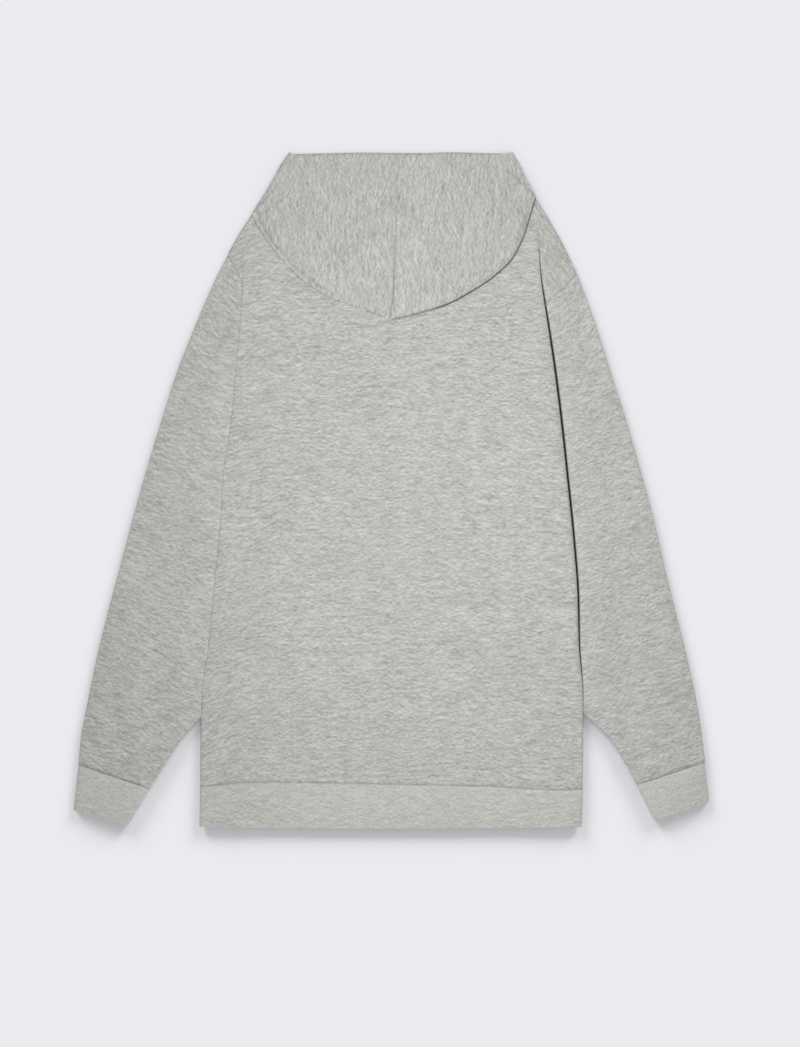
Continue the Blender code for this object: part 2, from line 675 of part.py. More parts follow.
def make_pull():
    """The pull: a flat tab whose eye goes round the bridge, with the pin that turns in it."""
    under = CLOTH / 2 + SLIDER_LIFT - CHAIN_THICK / 2 - SEAM - SLIDER["plate"]
    axis_z = under - (SLIDER["bridge"] - SLIDER["arch"]) / 2
    axis_up = SLIDER_UP + PULL["axis"]
    half_eye, half_tab, pin = PULL["half_eye"], PULL["half_tab"], PULL["pin"]
    half_thick = PULL["thick"] / 2
    eye_low = axis_up - PULL["eye"]
    # Each part: the sides, start and end up the zip, half its thickness.
    parts = (
        (-half_tab, half_tab, axis_up - PULL["length"], eye_low, half_thick),
        (-half_tab, half_tab, axis_up - pin, axis_up + pin, pin),
        (-half_tab, -half_eye, eye_low - FUSE, axis_up + pin / 2, half_thick),
        (half_eye, half_tab, eye_low - FUSE, axis_up + pin / 2, half_thick),
    )
    items = [loft(f"pull_part_{k}" if k else "zip_pull",
                  box((SLIDER_X + left, first, axis_z - half), (SLIDER_X + right, last, axis_z + half)),
                  METAL, 1.0)
             for k, (left, right, first, last, half) in enumerate(parts)]
    join_bodies(items[0], items[1:])
    hinge = Vector(place((SLIDER_X, axis_up, axis_z)))
    items[0].data.transform(Matrix.Translation(-hinge))
    items[0].location = hinge


def make_zip():
    """The closed zip: two tapes, the strip of closed teeth, its foot, the slider and the pull."""
    near, far = CHAIN_HALF + SEAM, ZIP_HALF - SEAM
    strip("zip_tape_left", BOX_UP[0], TAPE_TOP, -far, -near, TAPE_THICK, TAPE)
    strip("zip_tape_right", BOX_UP[0], TAPE_TOP, near, far, TAPE_THICK, TAPE)
    strip("zip_chain", BOX_UP[1] + SEAM, SLIDER_UP, -CHAIN_HALF, CHAIN_HALF, CHAIN_THICK, METAL, 1.0)
    strip("zip_box", *BOX_UP, -CHAIN_HALF, CHAIN_HALF, CHAIN_THICK, METAL, 1.0)
    make_slider()
    make_pull()


def build():
    for item in list(bpy.data.objects):
        bpy.data.objects.remove(item)
    make_back()
    make_waistband()
    for side, word in ((-1, "left"), (1, "right")):
        make_front(side, f"front_{word}")
        make_sleeve(side, f"sleeve_{word}")
        make_cuff(side, f"cuff_{word}")
        make_hood(side, f"hood_{word}")
    make_zip()


build()
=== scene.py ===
"""A zip-up hoodie laid flat on its front, seen from straight above: how it looks.

Lengths here are millimetres, as in the part's own source, and place() turns them into metres. "up"
is the distance from the hem towards the hood (+Y), "out" the distance from the garment's middle
line towards a sleeve. side is -1 for the wearer's left (-X) and 1 for the wearer's right (+X).
"""
import math

import bpy
import numpy as np
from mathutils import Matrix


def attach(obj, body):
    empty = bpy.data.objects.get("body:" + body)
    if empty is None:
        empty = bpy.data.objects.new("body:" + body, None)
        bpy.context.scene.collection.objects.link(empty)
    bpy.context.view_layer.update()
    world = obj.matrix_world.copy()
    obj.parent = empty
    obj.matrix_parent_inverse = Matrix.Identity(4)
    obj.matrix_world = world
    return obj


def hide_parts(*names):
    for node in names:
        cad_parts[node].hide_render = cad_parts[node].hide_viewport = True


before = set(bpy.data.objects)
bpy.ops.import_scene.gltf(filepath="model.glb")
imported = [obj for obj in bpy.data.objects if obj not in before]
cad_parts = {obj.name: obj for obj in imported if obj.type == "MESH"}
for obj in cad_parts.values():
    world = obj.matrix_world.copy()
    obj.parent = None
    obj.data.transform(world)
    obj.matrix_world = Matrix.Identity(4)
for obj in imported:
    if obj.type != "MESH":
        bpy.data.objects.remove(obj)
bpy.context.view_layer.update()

MM = 0.001
CLOTH, GAP = 1.6, 0.4
LEVEL = CLOTH + GAP     # from the middle of one layer to the middle of the next
SEAM, SEWN = 0.3, 0.1   # the gap at a seam, and where one piece is sewn flush to the other
LENGTH = 700.0
LEAN = 7.0              # how far the middle line leans over that length
CENTRE_X = 0.3
HEM_UP, ARMPIT_UP, TOP_UP = 45.0, 371.0, 690.0
# How far the neck drops in the middle of the back and front, and from which height on.
NECKS = {"back": (16.0, 560.0), "front": (107.0, 420.0)}
NECK_ROUND, NECK_EASE = 0.75, 1.3   # powers: the curve across the neck, and how the drop sets in
FRONT_SETBACK = 10.0    # how far inside the back's fold the front's lies
HOOD_CLEAR = 0.8        # more room under the hood's layers
# How levels come apart: beside a fold, inside a turned part, and from the hem up to where.
FOLD_SPREAD, STEP_SPREAD, BODY_START = (4.0, 42.0), (8.0, 60.0), 90.0

ZIP_HALF, CHAIN_THICK = 7.5, 1.6    # from the middle to a front's edge, and the teeth's thickness
SLIDER_UP = 568.0
SLIDER_X = LEAN * SLIDER_UP / LENGTH
# How the slider lifts the front and the back over it: how much, and how wide around.
SLIDER_LIFT, SLIDER_REACH, BACK_LIFT, BACK_REACH = 4.0, 90.0, 5.8, 125.0
LIFT_CORE, LIFT_BELOW = 16.0, 14.0      # how wide the bump's level top is, and how far below it lies
FOLD_IN = {-1: 1.2, 1: 0.4}     # how far inside the CAD's folds the soft ones stand

# Each side of the body: up, where it turns under, how deep the turned part is, how far parted.
SIDE_ROWS = {
    -1: ((0, 199.5, 30, 1), (43, 198.7, 32, 1), (90, 198.5, 38, 1), (140, 197, 47, 1),
         (190, 190, 56, 1), (240, 185.5, 65, 1), (300, 179.3, 74, 1), (371, 174.3, 84, 1),
         (420, 167, 60, 1), (470, 162.5, 38, 1), (520, 157.8, 14, 1), (545, 156, 10, 1),
         (560, 155.3, 6, 1), (575, 155, 0, 0.85), (594, 154, 0, 0.5), (612, 150, 0, 0.25),
         (633, 141, 0, 0), (655, 129, 0, 0), (675, 117, 0, 0), (690, 104.5, 0, 0)),
    1: ((0, 198, 30, 1), (43, 199, 32, 1), (90, 199.6, 38, 1), (140, 199.4, 47, 1),
        (190, 195.7, 56, 1), (240, 194.6, 65, 1), (300, 190.1, 74, 1), (371, 182.8, 84, 1),
        (420, 177.5, 62, 1), (470, 171.2, 38, 1), (520, 163.8, 14, 1), (545, 159.8, 11, 1),
        (575, 155.6, 6, 1), (594, 154.4, 0, 0.9), (612, 154, 0, 0.6), (633, 151, 0, 0.2),
        (655, 142, 0, 0), (675, 131, 0, 0), (690, 114, 0, 0)),
}
# The outer line of the garment: up, left, right.
OUTLINE = (
    (66, 323.8, 325.6), (97, 320.4, 321.7), (122, 315.6, 318), (172, 305.4, 307.5),
    (222, 293.3, 295.3), (271, 280.2, 283.1), (321, 266.9, 271.7), (371, 252.8, 258.1),
    (421, 237.6, 243.8), (471, 221.7, 227.7), (521, 201.9, 211.7), (546, 191.3, 202.9),
    (571, 180.1, 193.5), (596, 167.1, 181.6), (612, 158.4, 173.4), (633, 144.9, 161.3),
    (655, 130.2, 147.2), (675, 116.8, 133.5), (690, 104.2, 116.5))
# The armhole seam: up, out.
ARMHOLE = {
    -1: ((371, 90.3), (420, 107), (470, 124.5), (520, 143.8), (545, 150), (560, 153.5),
         (575, 157.8), (594, 168.7)),
    1: ((371, 99), (420, 115.5), (470, 133), (520, 150), (545, 162.5), (560, 178.5),
        (575, 192.1)),
}
# The sleeve's inner edge: up, out.
INNER_EDGE = {
    -1: ((41.2, 250), (66, 234.1), (96, 215.2), (107, 208.9), (112.5, 203.2), (116.5, 194),
         (120, 188.5), (240, 146), (371, 90.3)),
    1: ((45.2, 254.5), (64.5, 244), (90.5, 228.6), (107, 218.2), (114.5, 210), (119.5, 197),
        (123, 190.5), (240, 156), (371, 99)),
}
# Rings round a sleeve: how far up each crosses its two edges, and how much it bows like the seam.
SLEEVE_RINGS = ((530, 365, 0.55), (480, 357, 0.25), (425, 344, 0.1), (370, 325, 0), (320, 278, 0),
                (270, 231, 0), (220, 185, 0), (170, 139, 0), (120, 90, 0), (90, 63, 0))
# Each cuff's corners: seam outer, seam inner, hand outer, hand inner, as (out, up).
CUFFS = {
    -1: ((323.4, 65.7), (250, 41.2), (328.6, 19.3), (272.5, 3.2)),
    1: ((325, 68.2), (254.5, 45.2), (329.4, 26.8), (272.5, 8.7)),
}
# The hem's seam: x, up, and how far the hem's lower edge rises towards its ends.
HEM_SEAM = ((-199, 43), (-140, 47.8), (0, 45.5), (100, 43.5), (170, 40), (199, 40.5))
HEM_SAG = 2.0
# Lines over each hood half: lower fold out and up, top fold, back neck, front out and up.
# Where the last two are missing, the line ends at the front's neck.
HOOD_LINES = {
    -1: ((-1.6, 525.4, -7.3, -5.5, -6.5, 664), (25.5, 536.7, 14, 13, 12, 661),
         (55.4, 546.2, 36, 34, 26, 650), (87.4, 564.2, 57, 54, 27, 632),
         (114.6, 590.3, 72, 69, 13, 606), (129.6, 609.9, 82, 79),
         (139.2, 624.8, 87, 85), (143.8, 635.5, 91, 89),
         (129.2, 658.3, 94.5, 93), (121.9, 670.8, 97.5, 96),
         (114.2, 685.4, 99.5, 98.5), (105.4, 699.2, 101.5, 100.5)),
    1: ((1.6, 525.4, 7.3, 5.5, 6.5, 664), (27.6, 532.3, 28, 26, 24, 661),
        (55.3, 540.5, 50, 47, 38, 650), (81.5, 554, 70, 67, 37, 632),
        (107.1, 571, 84, 81, 22, 606), (125.6, 589, 92, 89),
        (138, 614, 98, 95), (145, 636.4, 102.5, 100),
        (150, 652, 106, 104), (140.1, 671.4, 109, 107.5),
        (132.2, 688.5, 111, 109.8), (126.5, 699.2, 113, 111.8)),
}
# Points along half of the neck, from its middle to the fold.
NECK_STOPS = (0, 0.28, 0.52, 0.72, 0.87, 0.96, 1)

# Beside the fold of each side: up, width of the slit, height of the sleeve at its bottom, height
# of the sleeve's crest outside it, the crest's radius, the body's height inside it, and how far
# in and how far down the body rounds off.
BESIDE = {
    -1: ((0, 0.3, 2.6, 4, 1.5, 7.6, 3, 1.2), (60, 0.3, 2.8, 5, 1.5, 8.6, 3, 1.2),
         (100, 0.2, 4.3, 6.8, 2, 9.4, 4.2, 1.4), (140, 0.15, 6, 8.1, 2, 11, 4.4, 1.1),
         (200, 0.1, 7.4, 8.7, 2.4, 11.5, 4.6, 0.9), (235, 0.1, 8.8, 9.8, 2.8, 11.5, 4.8, 0.9),
         (280, 0.1, 10, 10.9, 3.2, 11.5, 5, 0.9), (400, 0.1, 10.2, 11, 3.4, 11.5, 5, 0.9),
         (545, 0.1, 9.4, 10.4, 3, 10.8, 4.4, 0.9), (566, 0.2, 8.2, 9.1, 2.6, 9.3, 4.2, 0.5),
         (580, 0.3, 8.2, 8.4, 1.2, 8.4, 3, 0), (612, 0.3, 6.4, 6.4, 1.2, 6.4, 3, 0),
         (640, 0.3, 4.2, 4.2, 1.2, 4.2, 3, 0), (690, 0.3, 3.2, 3.2, 1.2, 3.2, 3, 0)),
    1: ((0, 0.6, 2.6, 4, 1.5, 7.8, 4, 1.6), (60, 0.6, 2.8, 5, 1.5, 8.8, 4, 1.6),
        (100, 0.5, 3.2, 7.6, 1.3, 9.8, 6, 2.2), (142, 0.75, 3.6, 10.4, 1, 12.2, 7.5, 3),
        (190, 1.6, 2.8, 12.6, 0.9, 14, 8.5, 3.8), (240, 2.2, 2.8, 13.4, 0.8, 14.8, 9.5, 4.2),
        (440, 2.5, 2.8, 13.6, 0.9, 15, 9, 3.8), (500, 2.4, 2.8, 13, 1, 14.6, 7.5, 3.2),
        (545, 1.8, 3, 11.6, 1, 12.8, 5.5, 2.2), (575, 1.2, 4, 9.6, 1, 10.4, 4.5, 1.5),
        (602, 0.7, 5.6, 7.8, 1.4, 8.3, 5, 1), (620, 0.35, 6.1, 7, 2, 7.2, 5, 0.8),
        (628, 0.3, 6.1, 6.3, 2, 6.4, 4, 0.3), (640, 0.3, 5.2, 5.2, 2, 5.2, 4, 0),
        (690, 0.3, 3.2, 3.2, 1.2, 3.2, 4, 0)),
}
RISE_REACH = 84.0       # how far in the body starts to rise towards its fold
HEM_LOFT, HEM_LOFT_UP = 3.7, (25.0, 250.0)      # how high the hem's middle bulges, and up to where
# How high the top layer of the sleeve and shoulder stands over the flat pile: up, height.
PUFF = ((0, 3), (60, 3.6), (100, 5.2), (180, 6.2), (400, 6), (540, 4.6), (600, 2.6), (640, 1),
        (690, 0.4))
# A rounded outer edge: the height of its middle, how far in the rounding reaches, the height where it
# ends, and the distance over which the cloth rises on from there.
EDGE_MID, EDGE_IN, EDGE_TOP, EDGE_RISE = 4.0, 2.1, 6.2, 13.0

# Soft creases on the back, the hood and the sleeves: start x, up, end x, up, half width, height.
CREASES = (
    (-105, 440, -128, 300, 26, -1.5), (-128, 300, -170, 180, 24, -1.9), (-165, 190, -186, 95, 16, -1.2),
    (72, 400, 92, 210, 30, 1.3), (128, 240, 188, 70, 26, -1.5), (-53, 200, -50, 52, 13, -0.9),
    (-30, 190, -22, 70, 12, 0.6), (-96, 250, -80, 60, 15, 0.8), (20, 330, 40, 90, 24, -0.7),
    (110, 330, 128, 120, 16, 0.8), (-20, 480, 30, 380, 34, 0.8), (60, 520, 110, 470, 26, -0.8),
    (-90, 520, -130, 470, 22, 0.7), (150, 420, 158, 300, 10, 0.5), (-193, 250, -200, 62, 20, -3.2),
    (-140, 420, -146, 300, 12, -0.9), (-160, 613, -133, 611, 4, -1.4),
    (154, 634, 155, 596, 5, -1.5), (196, 160, 202, 60, 16, -1.6),
    # gathers over the hem seam
    (-104, 78, -100, 47, 6, -0.9), (-88, 82, -86, 46, 6, -1), (-70, 74, -66, 47, 5, -0.8),
    (-52, 80, -50, 46, 6, -0.9), (94, 76, 92, 44, 6, -0.9), (112, 80, 112, 44, 6, -0.9),
    (132, 74, 134, 43, 6, -0.8), (24, 66, 22, 45, 6, -0.5), (-140, 70, -138, 47, 7, -0.5),
    (160, 66, 164, 41, 6, -0.5),
)
SLEEVE_CREASES = (
    (-262, 300, -236, 130, 16, -1), (-296, 150, -268, 70, 12, -1.3), (-232, 150, -256, 66, 9, -0.9),
    (-226, 420, -196, 330, 15, 0.9), (-300, 110, -292, 70, 6, -0.8), (-276, 100, -274, 60, 5, 0.7),
    (-214, 240, -214, 150, 12, 0.8), (262, 330, 240, 150, 16, -1), (300, 150, 272, 72, 12, -1.3),
    (232, 150, 262, 70, 9, -0.9), (222, 430, 214, 340, 14, 0.8), (300, 112, 296, 74, 6, -0.8),
    (282, 104, 284, 66, 5, 0.6), (214, 240, 220, 160, 12, 0.8), (190, 520, 200, 460, 10, -0.6),
    (-176, 520, -190, 470, 10, -0.6),
)
HOOD_CREASES = (
    (-70, 690, -52, 600, 20, -0.9), (60, 690, 50, 610, 22, -0.8), (-20, 660, -14, 560, 16, 0.7),
    (34, 640, 28, 560, 14, 0.6), (100, 680, 104, 620, 14, -0.8), (-96, 670, -104, 620, 14, -0.7),
)

# How many levels up a layer lies, and how many more for each turned side and each sleeve there.
LEVELS = {"front": (0, 0, 0), "front_turned": (0, 1, 0), "sleeve_lower": (0, 1, 1), "sleeve_upper": (1, 1, 1),
          "back_turned": (1, 1, 2), "back": (1, 2, 2), "hood_lower": (2, 2, 2), "hood_upper": (3, 2, 2)}

RISE_IN_GRAIN = 0.3     # how fast the colour's grain changes with height, for the rims
SHARP = 58              # edges of cloth sharper than this, in degrees, look sharp
# A quarter circle in six steps: how far out, and how far in or down.
ARC = np.linspace(0, math.pi / 2, 7)[1:]
ARC_OUT, ARC_IN = np.sin(ARC), 1 - np.cos(ARC)
# How far from a seam the first rows of cloth lie, and from where on they are evenly spaced.
SEAM_ROWS, ROWS_FROM = (0, 0.5, 1.1, 1.9, 3, 4.6, 6.8), 9.5
BACK_STEP, SLEEVE_STEP, FRONT_STEP = 3.3, 3.2, 4.6      # how far apart the rows of a piece are then
SEAM_HALF, SEAM_DARK = 1.3, 0.9                 # half widths of a seam's dip, and of the painted shade along its bottom
SEAM_PAINTED_SHADE, ARMHOLE_PAINTED_SHADE, CUFF_PAINTED_SHADE = 0.3, 0.4, 0.13     # how dark the painted shade at the bottoms of the seams is
HEM_FADE = 60.0         # how far up the body's rows bend with the hem's seam

# The body's turned side: the least it is turned under, the least its fold and its return stand
# apart, and how far in its fold rounds off below.
LEAST_TUCK, LEAST_ROUND, LEAST_DROP, UNDER_IN = 4.0, 0.6, 0.5, 2.6
# Near the hem the body's side is a thick roll: how low it reaches, and from which height to which.
ROLL_LOW, ROLL_UPS = 2.4, {-1: (96, 110), 1: (98, 112)}
# Where a pleat runs out: its hidden columns start to spread, and have spread.
PLEAT_OPENS = {-1: (568, 590), 1: (588, 606)}
# Where the cloth outside the fold comes down to its hidden bed: so far inside the fold.
BED = (-11.0, -3.5)
# Below this a shoulder's columns lie hidden under the body, and are left out.
SHOULDER_FROM = {-1: 560, 1: 534}
# The columns of a half of the back: its face, its turned part, the return under it, the cloth hidden
# below that, and the shoulder. Those over an edge are as many as ARC's.
FACE_COLUMNS, TURNED_COLUMNS, RETURN_COLUMNS, HIDDEN_COLUMNS, FAR_COLUMNS = 56, 10, 6, 4, 14
SHOULDER_COLUMNS = RETURN_COLUMNS + HIDDEN_COLUMNS + len(ARC) + FAR_COLUMNS
PIVOT, SHOULDER_TURN = (154, 608), math.radians(58)     # where the right shoulder's grain turns, and how far
SHOULDER_FINE = 1.25    # how much finer the grain looks there
# On the left the grain bends down towards the fold, fully so from one height to another.
FAN_FROM, FAN_REACH, FAN_LOW, FAN_UPS = 112.0, 58.0, 0.3, (520, 610)
SLIT_GAPES = (0.4, 1.9)     # the widths at which a slit starts to get its painted shade, and has it fully
SLIT_REACH = (-40, -30)     # how far inside the fold the painted shade on a sleeve begins, and is full
# The columns of a half of the back that lie in the slit, counted in from the outline, and how much painted
# shade each gets.
SLIT_FIRST, SLIT_LAST = FAR_COLUMNS, SHOULDER_COLUMNS + TURNED_COLUMNS + 2 * len(ARC)
SLIT_PAINTED_SHADE = np.array([0, 0, 0, 0, 0.1, 0.5, *[1] * (6 + 10 + 6 + 4), 0.5, 0.1, 0, 0, 0, 0])

# A sleeve's inner edge is thicker towards the cuff: how high its rounding ends, how much the cloth
# rises towards it and from how far in, how far in it rounds off, between which heights it gets
# thinner, and between which it comes free of the body.
INNER_TOP, INNER_RISE, INNER_FROM, INNER_IN = 8.8, 2.6, (45, 2), 2.8
INNER_UPS, LOOSE_UPS = (72, 108), (170, 130)
SLEEVE_UNDER = 2.6      # how far in from its edges a sleeve's underside starts
SLEEVE_COLUMNS = (6, 40, 16, 22)    # over its outer edge, on top, hidden by the body, and below
# The top of the sleeve dips at its armhole seam, and rises beside it and over the edge of the seam
# allowance: how high, how far from the seam, how wide. On the left it sinks towards the seam, too.
ARMHOLE_WAVES, ARMHOLE_HOLLOW = ((-0.5, 0, 0.7), (0.35, 1.9, 0.9), (0.35, 8.5, 1.6)), {-1: 0.6, 1: 0}
# The grain of a sleeve lies across it: how far it is turned at the cuff, how much more at the
# armhole, between which heights that grows, and about which point.
SLEEVE_TURN, SLEEVE_TURN_UPS = (math.radians(18), math.radians(20)), (420, 560)
SLEEVE_PIVOT = (205, 500)
# A cuff: its rows as parts of its height, how much higher its middle is than its rounded edges, how
# deep the dip over its seam is and how much narrower its dark line, and how far it sinks towards
# the hand, from how far down to where.
CUFF_ROWS = (0, 0.012, 0.028, 0.05, 0.08, 0.12, *np.linspace(0.17, 0.93, 11), 0.97, 0.99, 1)
CUFF_CROWN, CUFF_DIP, CUFF_NARROW, HAND_DROP, HAND_FROM = 2.4, 0.7, 1.4, 0.9, (24, 50)

FRONT_COLUMNS, TURN = 44, 1.2       # columns of a front's face, and how far out its fold rounds
# Where the turned side of a front runs out into its armhole and shoulder.
FRONT_OPENS = {-1: (514, 534), 1: (498, 518)}
# The front's shoulder edge rises to meet the back's: how high, over how wide a strip.
SHOULDER_RISE, SHOULDER_RISE_IN = 1.5, 9.0
# The waistband's rows, and how many of the back's columns it goes on with.
BAND_ROWS = (0, 0.5, 1.2, 2.2, *range(4, 38, 3), 39.5, 41.5, 43, 44, 44.6, 45)
BAND_COLUMNS = FACE_COLUMNS + 22

# The hood's top edge: x, up.
HOOD_TOP = ((-112, 696.8), (-104, 698.0), (-92, 698.3), (-63, 699.0), (-32, 699.6), (0, 699.3),
            (30, 699.1), (61, 699.9), (92, 699.2), (113, 698.8), (128, 698.4))
# The row of each hood half's lines where its lower fold meets the outline.
HOOD_CORNER = {-1: 7, 1: 8}
# The hood's lower fold: how far its cloth stands off the body, how tall its turn is, how far in it
# rounds off softly, how far in and how deep its last steep turn is, how far back it is turned under.
HOOD_EDGE = {-1: (-0.5, 0.25, 10.0, 3.8, 1.0, 0.1), 1: (0.5, 0.5, 12.0, 2.0, 0.9, 2.4)}
# How far down it rounds off softly: row of the hood's lines, left, right.
HOOD_SOFT_DOWN = ((0, 1.6, 2.2), (2, 2.2, 3.0), (3.5, 3.6, 4.6), (5.5, 4.0, 5.2), (8, 3.0, 3.4),
                  (11, 3.0, 3.4))
HOOD_SIDE_SOFT = 13.0   # how far in the hood's side edges round off
HOOD_PUFF = 1.6         # how much higher than the flat pile its top layer stands
HOOD_NEAR_SEAM = (0, 0.02, 0.05, 0.09, 0.14, 0.18, 0.21, 0.24, 0.27, 0.31, 0.37)    # its rows there
HOOD_FIRST, HOOD_ROWS = 0.45, 78        # where its even rows start, and how many they are
# Its columns: under its lower fold, where that rounds off softly, on its face, over its top fold and
# in front. The lower fold's two turns have as many as ARC each.
HOOD_HIDDEN, HOOD_SOFT, HOOD_FACE, HOOD_OVER, HOOD_FRONT = 11, 7, 46, 9, 16
HOOD_SOFT_FROM = HOOD_HIDDEN + 2 * len(ARC)
# It shows from above between these columns.
HOOD_SHOWN = (HOOD_HIDDEN + len(ARC), HOOD_SOFT_FROM + HOOD_SOFT + HOOD_FACE + 4)
HOOD_CROWN = (0.15, 3.5)        # how far its top fold reaches, at least and at most
HOOD_SETTLE = 45.0              # how far up its face goes on from the soft rounding
# The seam over the head: between which heights it deepens at its tip, how far it swings over there,
# between which heights, and how wide a strip of cloth goes with it.
TIP_UPS, TIP_BEND, BEND_UPS, BEND_WIDE = (545, 530), -2.6, (548, 527), 14
# How deep that seam's dip is above and at the tip, how dark the painted shade at its bottom is, how much
# narrower that is.
HOOD_DIP, HOOD_SEAM_PAINTED_SHADE, HOOD_NARROW = (0.7, 1.6), 0.44, 1.7
# How dark the painted shade under the hood's lower fold is, on which columns, and how it fades over them.
HOOD_PAINTED_SHADE, HOOD_SHADED = {-1: 0, 1: 0.9}, slice(6, HOOD_SOFT_FROM)
HOOD_SHADE = np.array([*[1] * 13, 0.95, 0.8, 0.4, 0.05])
LEAST_SHADE, SHADE_GROWS = 0.45, (0.6, 2.2)     # its share at the middle seam, and the rows to its full
# How dark the painted shade in the seam over the head is: everywhere, more below its top, and more at its
# tip.
SEAM_FAINT, FAINT_UPS = (0.35, 0.3, 0.6), (650, 600)

# The fleece: its darkest and lightest fibres, the painted shade put into narrow folds and seams, its two
# tints, and how mottled.
DARK, LIGHT, PAINTED_FOLD_SHADE = (0.182, 0.179, 0.169, 1), (0.900, 0.891, 0.850, 1), (0.045, 0.045, 0.043, 1)
COOL, WARM, MOTTLE = (0.989, 1.003, 0.993, 1), (1.010, 0.997, 1.004, 1), 0.10
MOTTLE_SCALE, TINT_SCALE = (0.018, 0.024, 1), (0.07, 0.10, 1)
WALE, COURSE, KNIT_DEPTH = 1.3, 1.0, 0.16       # the knit's columns, rows and relief, in millimetres
GRAIN_START = (913.7, 571.3, 0)
# How the grain wanders: the scale of a noise, and how far it shifts the colour in millimetres.
WANDER = (((0.045, 0.055, 1), (5, 5, 0)), ((0.17, 0.20, 1), (1.2, 1.2, 0)))
# Layers of streaks: how much longer and wider than the fleece's own, how far shifted across them, how
# detailed, and their share of the contrast. The last ones show only as flecks, where they are high.
STREAKS = ((1, 1, 0, 3, 1.2), (1, 1, 2.1, 1, -0.25), (3.5, 2, 31, 1, 0.55), (0.8, 0.9, 57, 1, 0.25))
FLECKS = (0.60, 0.80)
# Each fleece's name, the length and width of its streaks, its contrast, and how much lighter it is.
FLEECES = (("body", ((4.3, 1.95), 0.755)), ("band", ((3.4, 1.7), 0.56, 0.062)),
           ("cuff", ((2.3, 1.7), 0.56, 0.11)))

# The zip's teeth: where the first is, how far apart they are, one's outline, how far below the
# slider they end, and how far above it the top stops are.
FIRST_TOOTH, TOOTH_PITCH, SLIDER_CLEAR, STOP_UP = 13.0, 2.1, 4.0, 9.5
TOOTH = ((-2.55, -0.55), (-1.2, -0.62), (-0.3, -0.42), (0.75, -0.5), (0.75, 0.5), (-0.3, 0.42),
         (-1.2, 0.62), (-2.55, 0.55))
SLIDER_HALF, PLATE = 6.5, 1.0       # half the slider's length, and its plates' thickness
TAB_HALF, TAB_THICK, TAB_HOLE = 2.9, 0.7, 1.3       # the pull's half width, thickness, hole's radius

CAMERA_AT = (9.1, -34.4, 3016.0)
FLOOR, FLOOR_HALF, FLOOR_Z = (0.838, 0.838, 0.871, 1), 6.0, -0.0002     # its colour, and metres
# The suns that light only the floor: the share of its light, tilt from overhead, bearing from +Y
# towards -X, and how wide it looks, in degrees. The low ones draw the soft shadow below the hem.
FLOOR_LAMPS = (("floor_round", 0.11, 0, 0, 140), ("floor_high", 0.12, 15, 180, 30),
               ("floor_low_left", 0.195, 68.5, 34, 25), ("floor_low_right", 0.195, 68.5, -34, 25))
WORLD_SHARE = 0.38
# The long soft box over the garment, which lights all but the floor: where it hangs and how big it
# is, in metres, its light on the cloth right below it, and the watts that would make that 1.
BOX_AT, BOX_SIZE, BOX_SHARE, BOX_WATTS = (0.05, 0.04, 0.70), (0.12, 1.0), 0.60, 6.8


def smooth(start, end, value):
    """0 at start, 1 at end, level at both; start may be above end."""
    part = np.clip((value - start) / (end - start), 0, 1)
    return part * part * (3 - 2 * part)


def between(start, end, part):
    return start + (end - start) * part


def ramp(count, end=1):
    """Even steps up to end, without the 0 they start from."""
    return np.linspace(0, end, count + 1)[1:]


def bell(away, wide):
    return np.exp(-(away / wide) ** 2)


def quarter_round(distance, reach):
    """A quarter circle's height: 0 at 0, 1 from reach on."""
    return np.sqrt(1 - (1 - np.clip(distance / reach, 0, 1)) ** 2)


def swelling(distance, start, reach):
    """0 up to start, then ever more slowly towards 1."""
    return 1 - np.exp(-np.maximum(distance - start, 0) / reach)


def through(table, column, at):
    """A smooth curve through one column of a table, with no overshoot between its rows."""
    ups = np.array([row[0] for row in table], float)
    values = np.array([row[column] for row in table], float)
    steps = np.diff(ups)
    slopes = np.diff(values) / steps
    before, after = slopes[:-1], slopes[1:]
    same_way = before * after > 0
    total = np.where(same_way, before + after, 1)
    inner = np.where(same_way, 2 * before * after / total, 0)
    tangent = np.concatenate([[slopes[0]], inner, [slopes[-1]]])
    at = np.clip(at, ups[0], ups[-1])
    k = np.clip(np.searchsorted(ups, at) - 1, 0, len(steps) - 1)
    t = (at - ups[k]) / steps[k]
    leave, arrive = steps[k] * tangent[k], steps[k] * tangent[k + 1]
    return (between(values[k], values[k + 1], t * t * (3 - 2 * t))
            + leave * t * (1 - t) ** 2 - arrive * t * t * (1 - t))


def fold_out(side, up):
    return through(SIDE_ROWS[side], 1, up) - FOLD_IN[side]


def tuck_depth(side, up):
    return through(SIDE_ROWS[side], 2, up)


def outline(side, up):
    return through(OUTLINE, 1 if side < 0 else 2, up)


def inner_edge(side, up):
    turned = fold_out(side, up) - tuck_depth(side, up)
    return np.where(up < ARMPIT_UP, through(INNER_EDGE[side], 1, up), turned)


def shoulder_edge(side, up):
    """Where a panel ends beyond its fold: at the armhole seam, and above it at the outline."""
    seam = np.where(up <= ARMHOLE[side][-1][0], through(ARMHOLE[side], 1, up), np.inf)
    return np.minimum(outline(side, up), seam)


def middle(up):
    return LEAN * up / LENGTH


def hem_line(x):
    return through(HEM_SEAM, 1, x)


def meet_hem(x, y):
    """A panel's lowest rows moved on to the hem's seam."""
    return y + (hem_line(x) + SEAM - HEM_UP) * smooth(HEM_FADE, 0, y - HEM_UP)


def slider_bump(x, y, reach=SLIDER_REACH):
    return 1 - smooth(LIFT_CORE, reach, np.hypot(x - SLIDER_X, y - SLIDER_UP + LIFT_BELOW))


